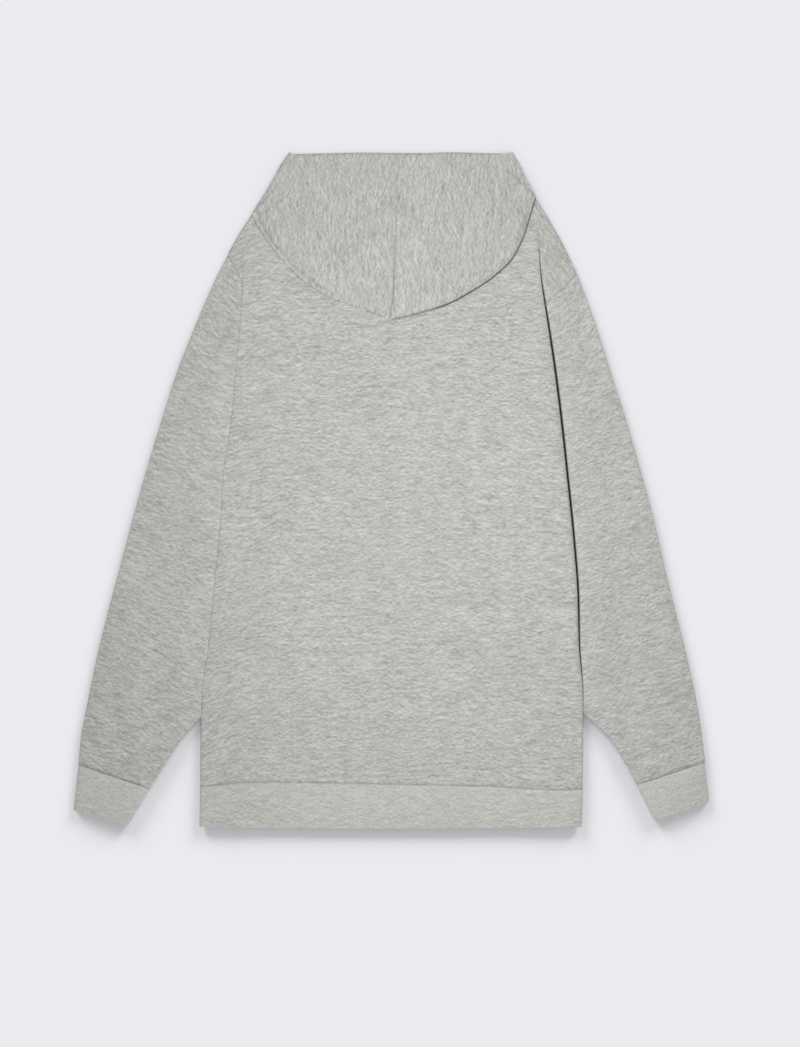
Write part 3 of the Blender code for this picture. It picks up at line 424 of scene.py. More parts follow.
def layers_between(x, y, spread):
    """How far the turned sides, and what lies between them, hold a point's levels apart."""
    turned_most, sleeve_most = 0, 0
    for side in (-1, 1):
        out, fold = side * x, fold_out(side, y)
        here = through(SIDE_ROWS[side], 3, y) * (1 - smooth(*spread, out - fold))
        turned = here * (1 - smooth(*STEP_SPREAD, fold - out - tuck_depth(side, y)))
        sleeve = here * (1 - smooth(*STEP_SPREAD, inner_edge(side, y) - out))
        turned_most = np.maximum(turned_most, turned)
        sleeve_most = np.maximum(sleeve_most, sleeve * smooth(HEM_UP, BODY_START, y))
    return turned_most, sleeve_most


def height(layer, x, y, spread=FOLD_SPREAD):
    """The middle of a layer's cloth above the floor, as in the part's own source."""
    turned, sleeve = layers_between(x, y, spread)
    base, per_turned, per_sleeve = LEVELS[layer]
    if layer.startswith(("back", "hood")):
        lift = BACK_LIFT * slider_bump(x, y, BACK_REACH)
    else:
        lift = SLIDER_LIFT * slider_bump(x, y)
    clear = HOOD_CLEAR if layer.startswith("hood") else 0
    return CLOTH / 2 + LEVEL * (base + per_turned * turned + per_sleeve * sleeve) + lift + clear


def creases(table, x, y):
    """The soft troughs and ridges of a table, added up."""
    total = np.zeros(np.broadcast(x, y).shape)
    for x0, y0, x1, y1, half, tall in table:
        dx, dy = x1 - x0, y1 - y0
        along = ((x - x0) * dx + (y - y0) * dy) / (dx * dx + dy * dy)
        over = np.clip(along, 0, 1)
        away = np.hypot(x - x0 - over * dx, y - y0 - over * dy) / half
        fade = np.sin(math.pi * np.clip(along * 0.8 + 0.1, 0, 1)) ** 0.7
        total += tall * np.exp(-away ** 2 * 1.6) * fade
    return total


def beside(side, column, up):
    return through(BESIDE[side], column, up)


def seam_dip(away, along, depth=1.0):
    """The dip over a seam, deeper in some places along it than in others."""
    uneven = 1 + 0.28 * np.sin(along / 7.3) + 0.24 * np.sin(along / 3.1 + 1) + 0.2 * np.sin(along / 17)
    return depth * uneven * bell(away, SEAM_HALF)


def face_height(x, y):
    """The back's face: the flat pile, its sides raised where a fold stands, and its creases."""
    z = height("back", x, y)
    lofty = (1 - smooth(*HEM_LOFT_UP, y)) * (1 - np.maximum(*layers_between(x, y, FOLD_SPREAD)))
    z = z + HEM_LOFT * lofty
    for side in (-1, 1):
        fold = fold_out(side, y)
        near = smooth(RISE_REACH, 4, fold - side * x)
        z = z + (beside(side, 5, y) - height("back", side * (fold - 3), y)) * near
    return z + creases(CREASES, x, y)


def outer_height(side, x, y):
    """The cloth that shows outside the body's fold: the shoulder, then the top of the sleeve."""
    past = side * x - fold_out(side, y)
    edge = np.maximum(outline(side, y) - side * x, 0)
    flat = height("sleeve_upper", x, y)
    gap, floor, crest, radius = (beside(side, k, y) for k in (1, 2, 3, 4))
    plateau = between(crest, flat + through(PUFF, 1, y), smooth(2, 40, past)) + creases(SLEEVE_CREASES, x, y)
    if side > 0:
        wall = quarter_round(past - gap / 2, radius)
    else:
        wall = np.sin(math.pi / 2 * np.clip((past - gap / 2) / radius, 0, 1))
    rounded = between(EDGE_TOP, plateau, swelling(edge, EDGE_IN, EDGE_RISE))
    rounded = between(EDGE_MID, rounded, quarter_round(edge, EDGE_IN))
    inside = between(floor, flat, 1 - smooth(*BED, past))
    return np.where(past > gap / 2, between(floor, rounded, wall), np.where(past > BED[1], floor, inside))


def body_height(side, x, y):
    """The middle of the back's cloth, on its face or outside the fold."""
    return np.where(side * x < fold_out(side, y), face_height(x, y), outer_height(side, x, y))


def hood_height(x, y):
    return height("hood_upper", x, y) + HOOD_PUFF + creases(HOOD_CREASES, x, y)


# ---- meshes

def add(name, data):
    item = bpy.data.objects.new(name, data)
    bpy.context.collection.objects.link(item)
    return item


def place(points):
    points = np.array(points, float)
    return np.stack([(points[..., 0] - CENTRE_X) * MM, (points[..., 1] - LENGTH / 2) * MM,
                     points[..., 2] * MM], -1)


def grid(x, y, z):
    return np.stack(np.broadcast_arrays(x, y, z), -1).astype(float)


def strips(*parts):
    """Strips of columns side by side, each given as x, y and z, as the x, y and z of them all."""
    parts = [np.broadcast_arrays(*part) for part in parts]
    return [np.concatenate([part[k] for part in parts], 1) for k in range(3)]


def run_along(a, b):
    """How far along its row each point lies."""
    moves = (np.diff(c, axis=1, prepend=c[:, :1]) for c in (a, b))
    return np.cumsum(np.hypot(*moves), 1)


def shell(name, points, grain, painted_shade, wrap=False, keep=None):
    """A closed shell of cloth round a grid of points: rows by columns by x, y, z.

    painted_shade is how much painted shade each point's colour gets down a narrow fold or seam, from 0 to 1.
    """
    rows, cols = points.shape[:2]
    across = np.roll(points, -1, 1) - np.roll(points, 1, 1)
    if not wrap:
        across[:, 0] = points[:, 1] - points[:, 0]
        across[:, -1] = points[:, -1] - points[:, -2]
    normal = np.cross(across, np.gradient(points, axis=0))
    normal = normal / np.maximum(np.linalg.norm(normal, axis=2, keepdims=True), 1e-9)
    both = np.concatenate([(points + normal * CLOTH / 2).reshape(-1, 3),
                           (points - normal * CLOTH / 2).reshape(-1, 3)])
    total = rows * cols
    number = np.arange(total).reshape(rows, cols)
    right = np.roll(number, -1, 1) if wrap else number[:, 1:]
    left = number if wrap else number[:, :-1]
    a, b, c, d = left[:-1], right[:-1], right[1:], left[1:]
    there = np.ones(a.shape, bool) if keep is None else keep
    faces = [np.stack([a, b, c, d], -1)[there], np.stack([d, c, b, a], -1)[there] + total]
    padded = np.pad(there, 1)
    if wrap:
        padded[1:-1, 0], padded[1:-1, -1] = there[:, -1], there[:, 0]
    for start, end, beyond in ((a, b, padded[:-2, 1:-1]), (b, c, padded[1:-1, 2:]),
                               (c, d, padded[2:, 1:-1]), (d, a, padded[1:-1, :-2])):
        rim = there & ~beyond
        p, q = start[rim], end[rim]
        faces.append(np.stack([q, p, p + total, q + total], -1))
    faces = np.concatenate(faces)
    used = np.zeros(2 * total, bool)
    used[faces.ravel()] = True
    mesh = bpy.data.meshes.new(name)
    mesh.from_pydata(place(both[used]).tolist(), [], (np.cumsum(used) - 1)[faces].tolist())
    flat = np.tile(grain.reshape(-1, 3), (2, 1))[used]
    flat[:, 2] += RISE_IN_GRAIN * both[used][:, 2]
    # the painted shade of each point, kept as an attribute for the material
    down = np.tile(np.broadcast_to(painted_shade, (rows, cols)).ravel(), 2)[used]
    lower = (np.arange(len(faces)) // there.sum() == 1).astype(np.int32)
    for word, kind, domain, field, values in (
            ("grain", "FLOAT_VECTOR", "POINT", "vector", flat.ravel().astype(np.float32)),
            ("painted_shade", "FLOAT", "POINT", "value", down.astype(np.float32)),
            ("lower", "INT", "FACE", "value", lower)):
        mesh.attributes.new(word, kind, domain).data.foreach_set(field, values)
    mesh.shade_smooth()
    mesh.set_sharp_from_angle(angle=math.radians(SHARP))
    return add(name, mesh)


def tube(name, side, points, grain, painted_shade):
    """A shell closed round on itself, its columns in the order that faces it outwards."""
    return shell(name, points[:, ::side], grain[:, ::side], painted_shade[:, ::side], wrap=True)


def body_ups(step):
    """Rows up the body, close together at the seam."""
    near = [HEM_UP + d for d in SEAM_ROWS]
    return np.array([*near, *np.arange(HEM_UP + ROWS_FROM, TOP_UP - 1, step), TOP_UP])


def neck_line(layer, up, part):
    """The height of a row's points, from the middle (part 0), where the neck drops, to the fold."""
    full, start = NECKS[layer]
    drop = full * np.clip((up - start) / (TOP_UP - start), 0, 1) ** NECK_EASE
    return up - drop * (1 - part ** 2) ** NECK_ROUND


def side_columns(side, ups):
    """The right or left half of the back, from the middle to the outline, as x, y, z by rows."""
    up = ups[:, None]
    gap, radius, round_x, round_z = (beside(side, k, up) for k in (1, 4, 6, 7))
    fold, wall = fold_out(side, up) - gap / 2 - CLOTH / 2, fold_out(side, up) + gap / 2
    tuck = np.maximum(tuck_depth(side, up), LEAST_TUCK)
    high = smooth(*ROLL_UPS[side], up)
    part = np.linspace(0, 1, FACE_COLUMNS)
    y_face = neck_line("back", up, part)
    x_face = between(middle(y_face) * side, fold - round_x, part)
    z_face = face_height(side * x_face, y_face)
    # over the fold
    x_over = fold - round_x + round_x * ARC_OUT
    z_over = face_height(side * x_over, up) - round_z * ARC_IN
    # round under it
    z_edge = z_over[:, -1:]
    turned = np.maximum(height("back_turned", side * (fold - 4), up), z_edge - LEVEL)
    turned = between(np.minimum(turned, z_edge - LEAST_ROUND), ROLL_LOW, 1 - high)
    under_x = np.minimum(UNDER_IN, tuck * 0.35)
    x_under, z_under = fold - under_x * ARC_IN, z_edge - (z_edge - turned) * ARC_OUT
    # the turned part
    stops = ramp(TURNED_COLUMNS)
    x_turned = fold - under_x - (tuck - under_x) * stops
    z_turned = np.minimum(height("back_turned", side * x_turned, up),
                          face_height(side * x_turned, up) - LEVEL)
    z_turned = between(turned, z_turned, smooth(0, 0.22 + 0.18 * high, stops))
    # round again to the shoulder
    z_last = z_turned[:, -1:]
    below = np.minimum(outer_height(side, side * (fold - tuck), up), z_last - LEAST_DROP)
    whole = ramp(RETURN_COLUMNS, math.pi)
    half = (z_last - below) / 2
    x_again, z_again = fold - tuck - half * np.sin(whole), (z_last + below) / 2 + half * np.cos(whole)
    # the shoulder: under the fold, up the crest, and out to the edge
    outer = shoulder_edge(side, up)
    x_hidden = between(fold - tuck, wall, ramp(HIDDEN_COLUMNS))
    z_hidden = np.minimum(outer_height(side, side * x_hidden, up), below)
    x_crest = wall + np.minimum(radius, 0.6 * np.maximum(outer - wall, 0.5)) * ARC_IN
    last = x_crest[:, -1:]
    x_far = between(last, np.maximum(outer, last + 0.2), ramp(FAR_COLUMNS))
    x_shoulder = np.minimum(np.concatenate([x_crest, x_far], 1), outer)
    z_shoulder = outer_height(side, side * x_shoulder, up)
    # where the pleat has run out, its hidden columns lie side by side across the closed slit
    x_hid, _, z_hid = strips((x_under, up, z_under), (x_turned, up, z_turned), (x_again, up, z_again),
                             (x_hidden, up, z_hidden))
    along = np.linspace(0, 1, x_hid.shape[1] + 2)[1:-1]
    floor = np.minimum(beside(side, 2, up), z_edge)
    shut = smooth(*PLEAT_OPENS[side], up)
    x_hid = between(x_hid, between(fold, wall, along), shut)
    z_hid = between(z_hid, between(floor, z_edge, (1 - along) ** 2), shut)
    x, y, z = strips((x_face, y_face, z_face), (x_over, up, z_over), (x_hid, up, z_hid),
                     (x_shoulder, up, z_shoulder))
    return side * x, y, z


def openness(side, up):
    """How far the slit beside the body gapes, from 0 to 1."""
    return smooth(*SLIT_GAPES, beside(side, 1, up))


def make_back():
    ups = body_ups(BACK_STEP)
    halves = [side_columns(side, ups) for side in (-1, 1)]
    x, y, z = (np.concatenate([left[:, ::-1], right[:, 1:]], 1) for left, right in zip(*halves))
    y = meet_hem(x, y)
    near = y - hem_line(x) - SEAM
    keep = np.ones((len(ups) - 1, x.shape[1] - 1), bool)
    keep[ups[:-1] < SHOULDER_FROM[-1], :SHOULDER_COLUMNS] = False
    keep[ups[:-1] < SHOULDER_FROM[1], -SHOULDER_COLUMNS:] = False
    # painted shade: dark down the slit beside each fold, and along the bottom of the hem seam
    painted_shade = np.zeros(x.shape)
    for side, columns in ((-1, slice(SLIT_FIRST, SLIT_LAST)), (1, slice(-SLIT_LAST, -SLIT_FIRST))):
        painted_shade[:, columns] = SLIT_PAINTED_SHADE * openness(side, y[:, columns])
    painted_shade = np.maximum(painted_shade, SEAM_PAINTED_SHADE * bell(near, SEAM_DARK))
    return shell("back_cloth", grid(x, y, z - seam_dip(near, x)), body_grain(x, y), painted_shade, keep=keep)


def body_grain(x, y):
    """Grain coordinates: along the rows of the knit, then across them, turned on the shoulders."""
    u, v = x.copy(), y.copy()
    columns = slice(-SHOULDER_COLUMNS, None)
    dx, dy = (x[:, columns] - PIVOT[0]) * SHOULDER_FINE, (y[:, columns] - PIVOT[1]) * SHOULDER_FINE
    u[:, columns] = PIVOT[0] + dx * math.cos(SHOULDER_TURN) - dy * math.sin(SHOULDER_TURN)
    v[:, columns] = PIVOT[1] + dx * math.sin(SHOULDER_TURN) + dy * math.cos(SHOULDER_TURN)
    past = np.maximum(-x - FAN_FROM, 0)
    return grid(u, v + past ** 2 / (2 * FAN_REACH) * between(FAN_LOW, 1, smooth(*FAN_UPS, y)), 0)


def sleeve_rings(side):
    """The lines along which rings cross the top of the sleeve, outer edge to inner, finely."""
    fine = np.linspace(0, 1, 400)
    seam = np.array([(side * out, up) for up, out in ARMHOLE[side]][::-1], float)
    reach = np.concatenate([[0], np.cumsum(np.linalg.norm(np.diff(seam, axis=0), axis=1))])
    table = tuple(zip(reach, seam[:, 0] + side * SEWN, seam[:, 1] - SEWN))
    top = np.stack([through(table, k, fine * reach[-1]) for k in (1, 2)], -1)
    bow = top - between(top[0], top[-1], fine[:, None])
    ends = [(*top[0], *top[-1], 1)]
    for outer_up, inner_up, share in SLEEVE_RINGS:
        outer, inner = side * outline(side, outer_up), side * inner_edge(side, inner_up)
        ends.append((outer, outer_up, inner, inner_up, share))
    (outer, outer_up), (inner, inner_up) = CUFFS[side][:2]
    ends.append((side * outer, outer_up + SEAM, side * inner, inner_up + SEAM, 0))
    # rings in between, spaced along the sleeve
    rings = [(-0.5 * (end[1] + end[3]), *end) for end in ends]
    long = rings[-1][0] - rings[0][0]
    near = np.array(SEAM_ROWS)
    evenly = np.arange(ROWS_FROM, long - 8, SLEEVE_STEP)
    stops = np.concatenate([near, evenly, long - near[::-1]]) + rings[0][0]
    ox, oy, ix, iy, share = (through(rings, k, stops)[:, None] for k in range(1, 6))
    ox = np.where(oy > 70, side * outline(side, oy), ox)
    x, y = between(ox, ix, fine) + share * bow[:, 0], between(oy, iy, fine) + share * bow[:, 1]
    return x, y, stops - stops[0]


def sleeve_stops(side, line_y, past, length):
    """Where the columns of one ring lie on its top and on its underside, as shares of its length."""
    fine = np.linspace(0, 1, len(past))
    edge, lip = CLOTH / 2 / length, EDGE_IN / length
    inside = np.nonzero(past < 0)[0]
    cross = 1.0
    if len(inside) and inside[0] > 0 and line_y[inside[0]] > 100:
        k = inside[0]
        cross = np.interp(0, [-past[k - 1], -past[k]], [fine[k - 1], fine[k]])
    cross = min(cross, 1 - 3 / length)
    radius = beside(side, 4, np.interp(cross, fine, line_y)) / length
    count = SLEEVE_COLUMNS
    over = between(edge, lip, 1 - np.cos(np.linspace(0, math.pi / 2, count[0])))
    hidden = between(cross + 0.12 / length, 1 - edge, np.linspace(0, 1, count[2]) ** 1.7)
    flat, crest = np.linspace(lip, cross - radius, count[1])[1:], cross - radius * (1 - ARC_OUT)
    under = np.linspace(1 - SLEEVE_UNDER / length, SLEEVE_UNDER / length, count[3])
    return np.concatenate([over, flat, crest, hidden]), under


def quarter_turn(start, end):
    """Columns that turn from one edge into another, each given as x, y and z."""
    turn = ramp(4, math.pi / 2)
    parts = (1 - np.cos(turn), 1 - np.cos(turn), np.sin(turn))
    return [between(a, b, part) for a, b, part in zip(start, end, parts)]


def make_sleeve(side, name):
    line_x, line_y, along = sleeve_rings(side)
    fine = np.linspace(0, 1, line_x.shape[1])
    length = np.hypot(line_x[:, -1] - line_x[:, 0], line_y[:, -1] - line_y[:, 0])
    past = side * line_x - fold_out(side, line_y) - beside(side, 1, line_y) / 2
    rows = []
    for xs, ys, off, long in zip(line_x, line_y, past, length):
        upper, under = sleeve_stops(side, ys, off, long)
        rows.append((np.interp(upper, fine, xs), np.interp(upper, fine, ys), upper * long,
                     np.interp(under, fine, xs), np.interp(under, fine, ys)))
    x, y, from_outer, low_x, low_y = map(np.array, zip(*rows))
    along, from_inner = along[:, None], length[:, None] - from_outer
    z = outer_height(side, x, y)
    full = 1 - smooth(*INNER_UPS, y)
    top = between(EDGE_TOP, INNER_TOP, full)
    risen = z + INNER_RISE * full * smooth(*INNER_FROM, from_inner)
    tall = between(EDGE_MID, top, quarter_round(from_inner, INNER_IN))
    more = np.maximum(risen - top, 0) * swelling(from_inner, INNER_IN, EDGE_RISE)
    z = between(z, np.minimum(risen, tall + more), smooth(*LOOSE_UPS, y))
    to_cuff = along[-1] - along
    for rise, where, wide in (*ARMHOLE_WAVES, (-ARMHOLE_HOLLOW[side], 0, 5)):
        z = z + rise * bell(along - where, wide)
    z = z - seam_dip(to_cuff, from_outer)
    upper, lower = (x, y, z), (low_x, low_y, height("sleeve_lower", low_x, low_y, (-11, -1)))
    inner = quarter_turn([a[:, -1:] for a in upper], [a[:, :1] for a in lower])
    outer = quarter_turn([a[:, :1] for a in upper], [a[:, -1:] for a in lower])
    gx, gy, gz = strips(upper, [a[:, :-1] for a in inner], lower, [a[:, -2::-1] for a in outer])
    # painted shade: in the slit under the body's fold, and along the cuff and armhole seams
    into = side * gx - fold_out(side, gy) - beside(side, 1, gy) / 2
    painted_shade = smooth(0.5, 0, into / beside(side, 4, gy)) * smooth(*SLIT_REACH, into) * openness(side, gy)
    around = run_along(gx, gy)
    painted_shade = np.maximum(painted_shade, CUFF_PAINTED_SHADE * seam_dip(to_cuff * CUFF_NARROW, around))
    painted_shade = np.maximum(painted_shade, ARMHOLE_PAINTED_SHADE * bell(along, 0.6))
    painted_shade[:, x.shape[1] + 3:] = 0
    turn = side * (SLEEVE_TURN[0] + SLEEVE_TURN[1] * smooth(*SLEEVE_TURN_UPS, gy))
    dx, dy = gx - side * SLEEVE_PIVOT[0], gy - SLEEVE_PIVOT[1]
    grain = grid(dx * np.cos(turn) + dy * np.sin(turn), dy * np.cos(turn) - dx * np.sin(turn), 40 * side)
    return tube(name, side, grid(gx, gy, gz), grain, painted_shade)


def make_cuff(side, name):
    seam_outer, seam_inner, hand_outer, hand_inner = (np.array(p) for p in CUFFS[side])
    parts = np.array(CUFF_ROWS)[:, None]
    fine = np.linspace(0, 1, 31)
    fine = ((1 - np.cos(math.pi * fine)) / 2 + fine) / 2
    outer, inner = between(seam_outer, hand_outer, parts), between(seam_inner, hand_inner, parts)
    length = np.hypot(*(inner - outer).T)[:, None]
    a = CLOTH / 2 + (length - CLOTH) * fine
    b = length - a
    x, y = (between(outer[:, k:k + 1], inner[:, k:k + 1], a / length) for k in (0, 1))
    edge = np.minimum(a, b)
    down = np.linalg.norm((seam_outer + seam_inner - hand_outer - hand_inner) / 2) * parts
    lip = quarter_round(edge, EDGE_IN)
    crown = CUFF_CROWN * swelling(edge, EDGE_IN, 10) + (INNER_TOP - EDGE_TOP) * smooth(*INNER_FROM, b)
    z = EDGE_MID + (EDGE_TOP - EDGE_MID + crown) * lip - seam_dip(down, a, CUFF_DIP)
    z = z - HAND_DROP * smooth(*HAND_FROM, down) * lip
    low_x, low_y = x[:, -2:0:-1], y[:, -2:0:-1]
    points = np.concatenate([grid(side * x, y, z), grid(side * low_x, low_y, CLOTH / 2)], 1)
    around = np.concatenate([a, a[:, -1:] + np.abs(low_x - x[:, -1:])], 1)
    # painted shade along the bottom of the cuff's seam
    painted_shade = CUFF_PAINTED_SHADE * seam_dip(down * CUFF_NARROW, around)
    return tube(name, side, points, grid(around, down, 80 + 9 * side), painted_shade)


def turned_side(fold, z_low, tall, depth):
    """A front's turn at its fold, as x and z, and x on from there to the turned part's end."""
    whole = ramp(7, math.pi)
    return (fold - TURN + TURN * np.sin(whole), z_low + tall / 2 * (1 - np.cos(whole)),
            fold - TURN - (depth - TURN) * ramp(8))


def make_front(side, name):
    up = body_ups(FRONT_STEP)[:, None]
    tuck = tuck_depth(side, up)
    fold = fold_out(side, up) - CLOTH / 2 - FRONT_SETBACK * smooth(0, 8, tuck)
    part = np.linspace(0, 1, FRONT_COLUMNS)
    y = neck_line("front", up, part)
    x = between(middle(y) * side + ZIP_HALF, fold - TURN, part)
    z = height("front", side * x, y)
    z_low, z_high = z[:, -1:], height("front_turned", side * (fold - 3), up)
    tall, depth = np.maximum(z_high - z_low, 0.2), np.maximum(tuck, LEAST_TUCK)
    x_turn, z_turn, x_in = turned_side(fold, z_low, tall, depth)
    folded_x, _, folded_z = strips((x_turn, up, z_turn), (x_in, up, height("front_turned", side * x_in, up)))
    # or running on to the outline
    outer = shoulder_edge(side, up)
    open_x = between(fold - TURN, outer, ramp(folded_x.shape[1]))
    seam_top = ARMHOLE[side][-1][0]
    rise = SHOULDER_RISE * smooth(SHOULDER_RISE_IN, 0, outer - open_x)
    open_z = height("front", side * open_x, up) + rise * smooth(seam_top - 2, seam_top + 10, up)
    shut = smooth(*FRONT_OPENS[side], up)
    gx, gy, gz = strips((x, y, z), (between(folded_x, open_x, shut), up, between(folded_z, open_z, shut)))
    points = grid(side * gx, meet_hem(side * gx, gy), gz)[:, ::-side]
    return shell(name, points, grid(points[..., 0], points[..., 1], 150 + 10 * side), 0)


def make_waistband():
    ups = np.array(BAND_ROWS)
    up = ups[:, None]
    halves = []
    for side in (-1, 1):
        x_back, _, z_back = (a[:, :BAND_COLUMNS][:, ::-1] for a in side_columns(side, ups))
        fold = fold_out(side, up) - CLOTH / 2 - FRONT_SETBACK
        x = between(middle(up) * side + ZIP_HALF, fold - TURN, np.linspace(0, 1, FRONT_COLUMNS))
        end = side * x_back[:, :1]
        x_turn, z_turn, x_in = turned_side(fold, CLOTH / 2, LEVEL, fold - end - 1)
        low, high = CLOTH / 2 + LEVEL, z_back[:, :1]
        arc = np.linspace(0, math.pi, 7)[1:-1]
        x_link, z_link = x_in[:, -1:] - np.sin(arc), (low + high) / 2 - (high - low) / 2 * np.cos(arc)
        half = strips((side * x, up, CLOTH / 2), (side * x_turn, up, z_turn), (side * x_in, up, low),
                      (side * x_link, up, z_link), (x_back, up, z_back))
        halves.append(half)
    x, _, z = (np.concatenate([left, right[:, ::-1][:, 1:]], 1) for left, right in zip(*halves))
    y = between(np.minimum((x / 199.5) ** 2 * HEM_SAG, HEM_SAG), hem_line(x), up / HEM_UP)
    on_back, near = z > 2 * CLOTH, hem_line(x) - y
    z = z - np.where(on_back, seam_dip(near, x), 0)
    # painted shade along the bottom of the hem seam, on the band's back layer
    painted_shade = np.where(on_back, SEAM_PAINTED_SHADE * bell(near, SEAM_DARK), 0)
    return shell("waistband_cloth", grid(x, y, z), grid(run_along(x, z), y, 300), painted_shade)


def hood_lines(side):
    """The hood half's lines, each with its number and its points in full."""
    fold_top = float(fold_out(side, TOP_UP)) - CLOTH / 2
    parts = np.array(NECK_STOPS)
    neck_y = TOP_UP - NECKS["front"][0] * (1 - parts ** 2) ** NECK_ROUND
    neck_x = between(middle(neck_y) * side + ZIP_HALF, fold_top, parts)
    rows = []
    for k, (low_out, low_up, top_out, neck_out, *front) in enumerate(HOOD_LINES[side]):
        off = SEAM / 2 if k == 0 else 0
        across = min(abs(side * neck_out - middle(TOP_UP)) / (fold_top - middle(TOP_UP) * side), 1)
        neck_up = TOP_UP - NECKS["back"][0] * (1 - across ** 2) ** NECK_ROUND
        n = k - len(HOOD_LINES[side]) + len(parts)
        front_out, front_up = front or (neck_x[n], neck_y[n] + SEAM)
        rows.append((k, low_out + off, low_up, top_out + off, neck_out + off, neck_up, front_out + off,
                     front_up))
    return rows


def make_hood(side, name):
    rows, corner = hood_lines(side), HOOD_CORNER[side]
    at = np.array([*HOOD_NEAR_SEAM, *np.linspace(HOOD_FIRST, len(rows) - 1, HOOD_ROWS)])[:, None]
    low_x, low_y = (np.where(at <= corner, through(rows[:corner + 1], c, at), through(rows[corner:], c, at))
                    for c in (1, 2))
    top_x, neck_x, neck_y, front_x, front_y = (through(rows, c, at) for c in range(3, 8))
    top_y = through(HOOD_TOP, 1, side * top_x)
    away = np.hypot(low_x - top_x, low_y - top_y)
    way_x, way_y = (low_x - top_x) / away, (low_y - top_y) / away
    stand, turn_tall, soft_in, steep_in, steep_down, back_in = HOOD_EDGE[side]
    soft_down = through(HOOD_SOFT_DOWN, 1 if side < 0 else 2, at)
    on_side = smooth(corner - 0.5, corner + 0.7, at)
    soft_in = between(soft_in, HOOD_SIDE_SOFT, on_side)
    small = np.minimum(1, away * 0.3 / soft_in)
    soft_in, steep_in, back_in = soft_in * small, steep_in * small, back_in * small

    def inwards(distance):
        distance = distance + CLOTH / 2
        return low_x - way_x * distance, low_y - way_y * distance

    # the lower fold, from its turned cloth round and up to where the top starts
    edge_x, edge_y = inwards(0)
    under_z = body_height(side, side * edge_x, edge_y) + CLOTH + stand
    edge_z = under_z + turn_tall
    steep_z = edge_z + steep_down
    start_x, start_y = inwards(soft_in)
    start_z = between(steep_z + soft_down, hood_height(side * start_x, start_y) - 0.2, on_side)
    edge_z = between(edge_z, start_z, 0.45 * on_side)
    steep_z = between(steep_z, (edge_z + start_z) / 2, on_side)
    sine, cosine = ARC_OUT[::-1], ARC_IN[::-1]
    soft, hidden = (np.linspace(0, 1, count + 1)[:-1] for count in (HOOD_SOFT, HOOD_HIDDEN))
    x_hide, y_hide = (between(a, b, hidden) for a, b in zip((neck_x, neck_y), inwards(back_in)))
    z_hide = between(height("hood_lower", side * x_hide, y_hide) + 0.5, under_z, smooth(0.6, 1, hidden))
    # the part that shows, up to the top fold, and over it on to the front
    reach_y = np.clip((top_y - CLOTH / 2 - start_y) * 0.5, *HOOD_CROWN)
    crown_y = top_y - CLOTH / 2 - reach_y
    even = np.linspace(0, 1, HOOD_FACE)
    x_show, y_show = between(start_x, top_x, even), between(start_y, crown_y, even)
    z_show = hood_height(side * x_show, y_show)
    from_start = np.hypot(x_show - start_x, y_show - start_y)
    z_show = z_show + (start_z - z_show[:, :1]) * smooth(HOOD_SETTLE, 0, from_start)
    floor_z = height("front", side * top_x, top_y)
    whole = np.linspace(0, math.pi, HOOD_OVER + 2)[1:-1]
    radius = (z_show[:, -1:] - floor_z) / 2
    ahead = np.linspace(0, 1, HOOD_FRONT)
    x_front, y_front = between(top_x, front_x, ahead), between(crown_y, front_y, ahead)
    y_top, z_top = crown_y + reach_y * np.sin(whole), floor_z + radius * (1 + np.cos(whole))
    x, y, z = strips(
        (x_hide, y_hide, z_hide), (*inwards(back_in * cosine), edge_z - (edge_z - under_z) * sine),
        (*inwards(steep_in * (1 - sine)), steep_z - (steep_z - edge_z) * cosine),
        (*inwards(between(steep_in, soft_in, soft)), between(steep_z, start_z, np.sin(math.pi / 2 * soft))),
        (x_show, y_show, z_show), (top_x, y_top, z_top),
        (x_front, y_front, height("front", side * x_front, y_front)))
    # the seam over the middle of the head, deepest at its tip
    column = np.arange(x.shape[1])
    shows = (column > HOOD_SHOWN[0]) & (column < HOOD_SHOWN[1])
    from_seam = np.abs(low_x - low_x[0, 0])
    at_tip = smooth(*TIP_UPS, y)
    z = z - np.where(shows, seam_dip(from_seam, y) * between(*HOOD_DIP, at_tip), 0)
    bend = TIP_BEND * smooth(*BEND_UPS, y) * bell(from_seam, BEND_WIDE)
    points = grid(side * x + bend, y, z)
    # painted shade: under the hood's lower fold, and along the bottom of the seam over the head
    shade = np.zeros(x.shape)
    shade[:, HOOD_SHADED] = HOOD_PAINTED_SHADE[side] * HOOD_SHADE
    shade = shade * (1 - on_side) * between(LEAST_SHADE, 1, smooth(*SHADE_GROWS, at))
    faint = SEAM_FAINT[0] + SEAM_FAINT[1] * smooth(*FAINT_UPS, y) + SEAM_FAINT[2] * at_tip
    seam = HOOD_SEAM_PAINTED_SHADE * faint * seam_dip(from_seam * HOOD_NARROW, y)
    shade = np.maximum(shade, np.where(shows, seam, 0))
    points, shade = points[::-side], shade[::-side]
    return shell(name, points, grid(points[..., 1], points[..., 0], 200 + 13 * side), shade)


# ---- materials

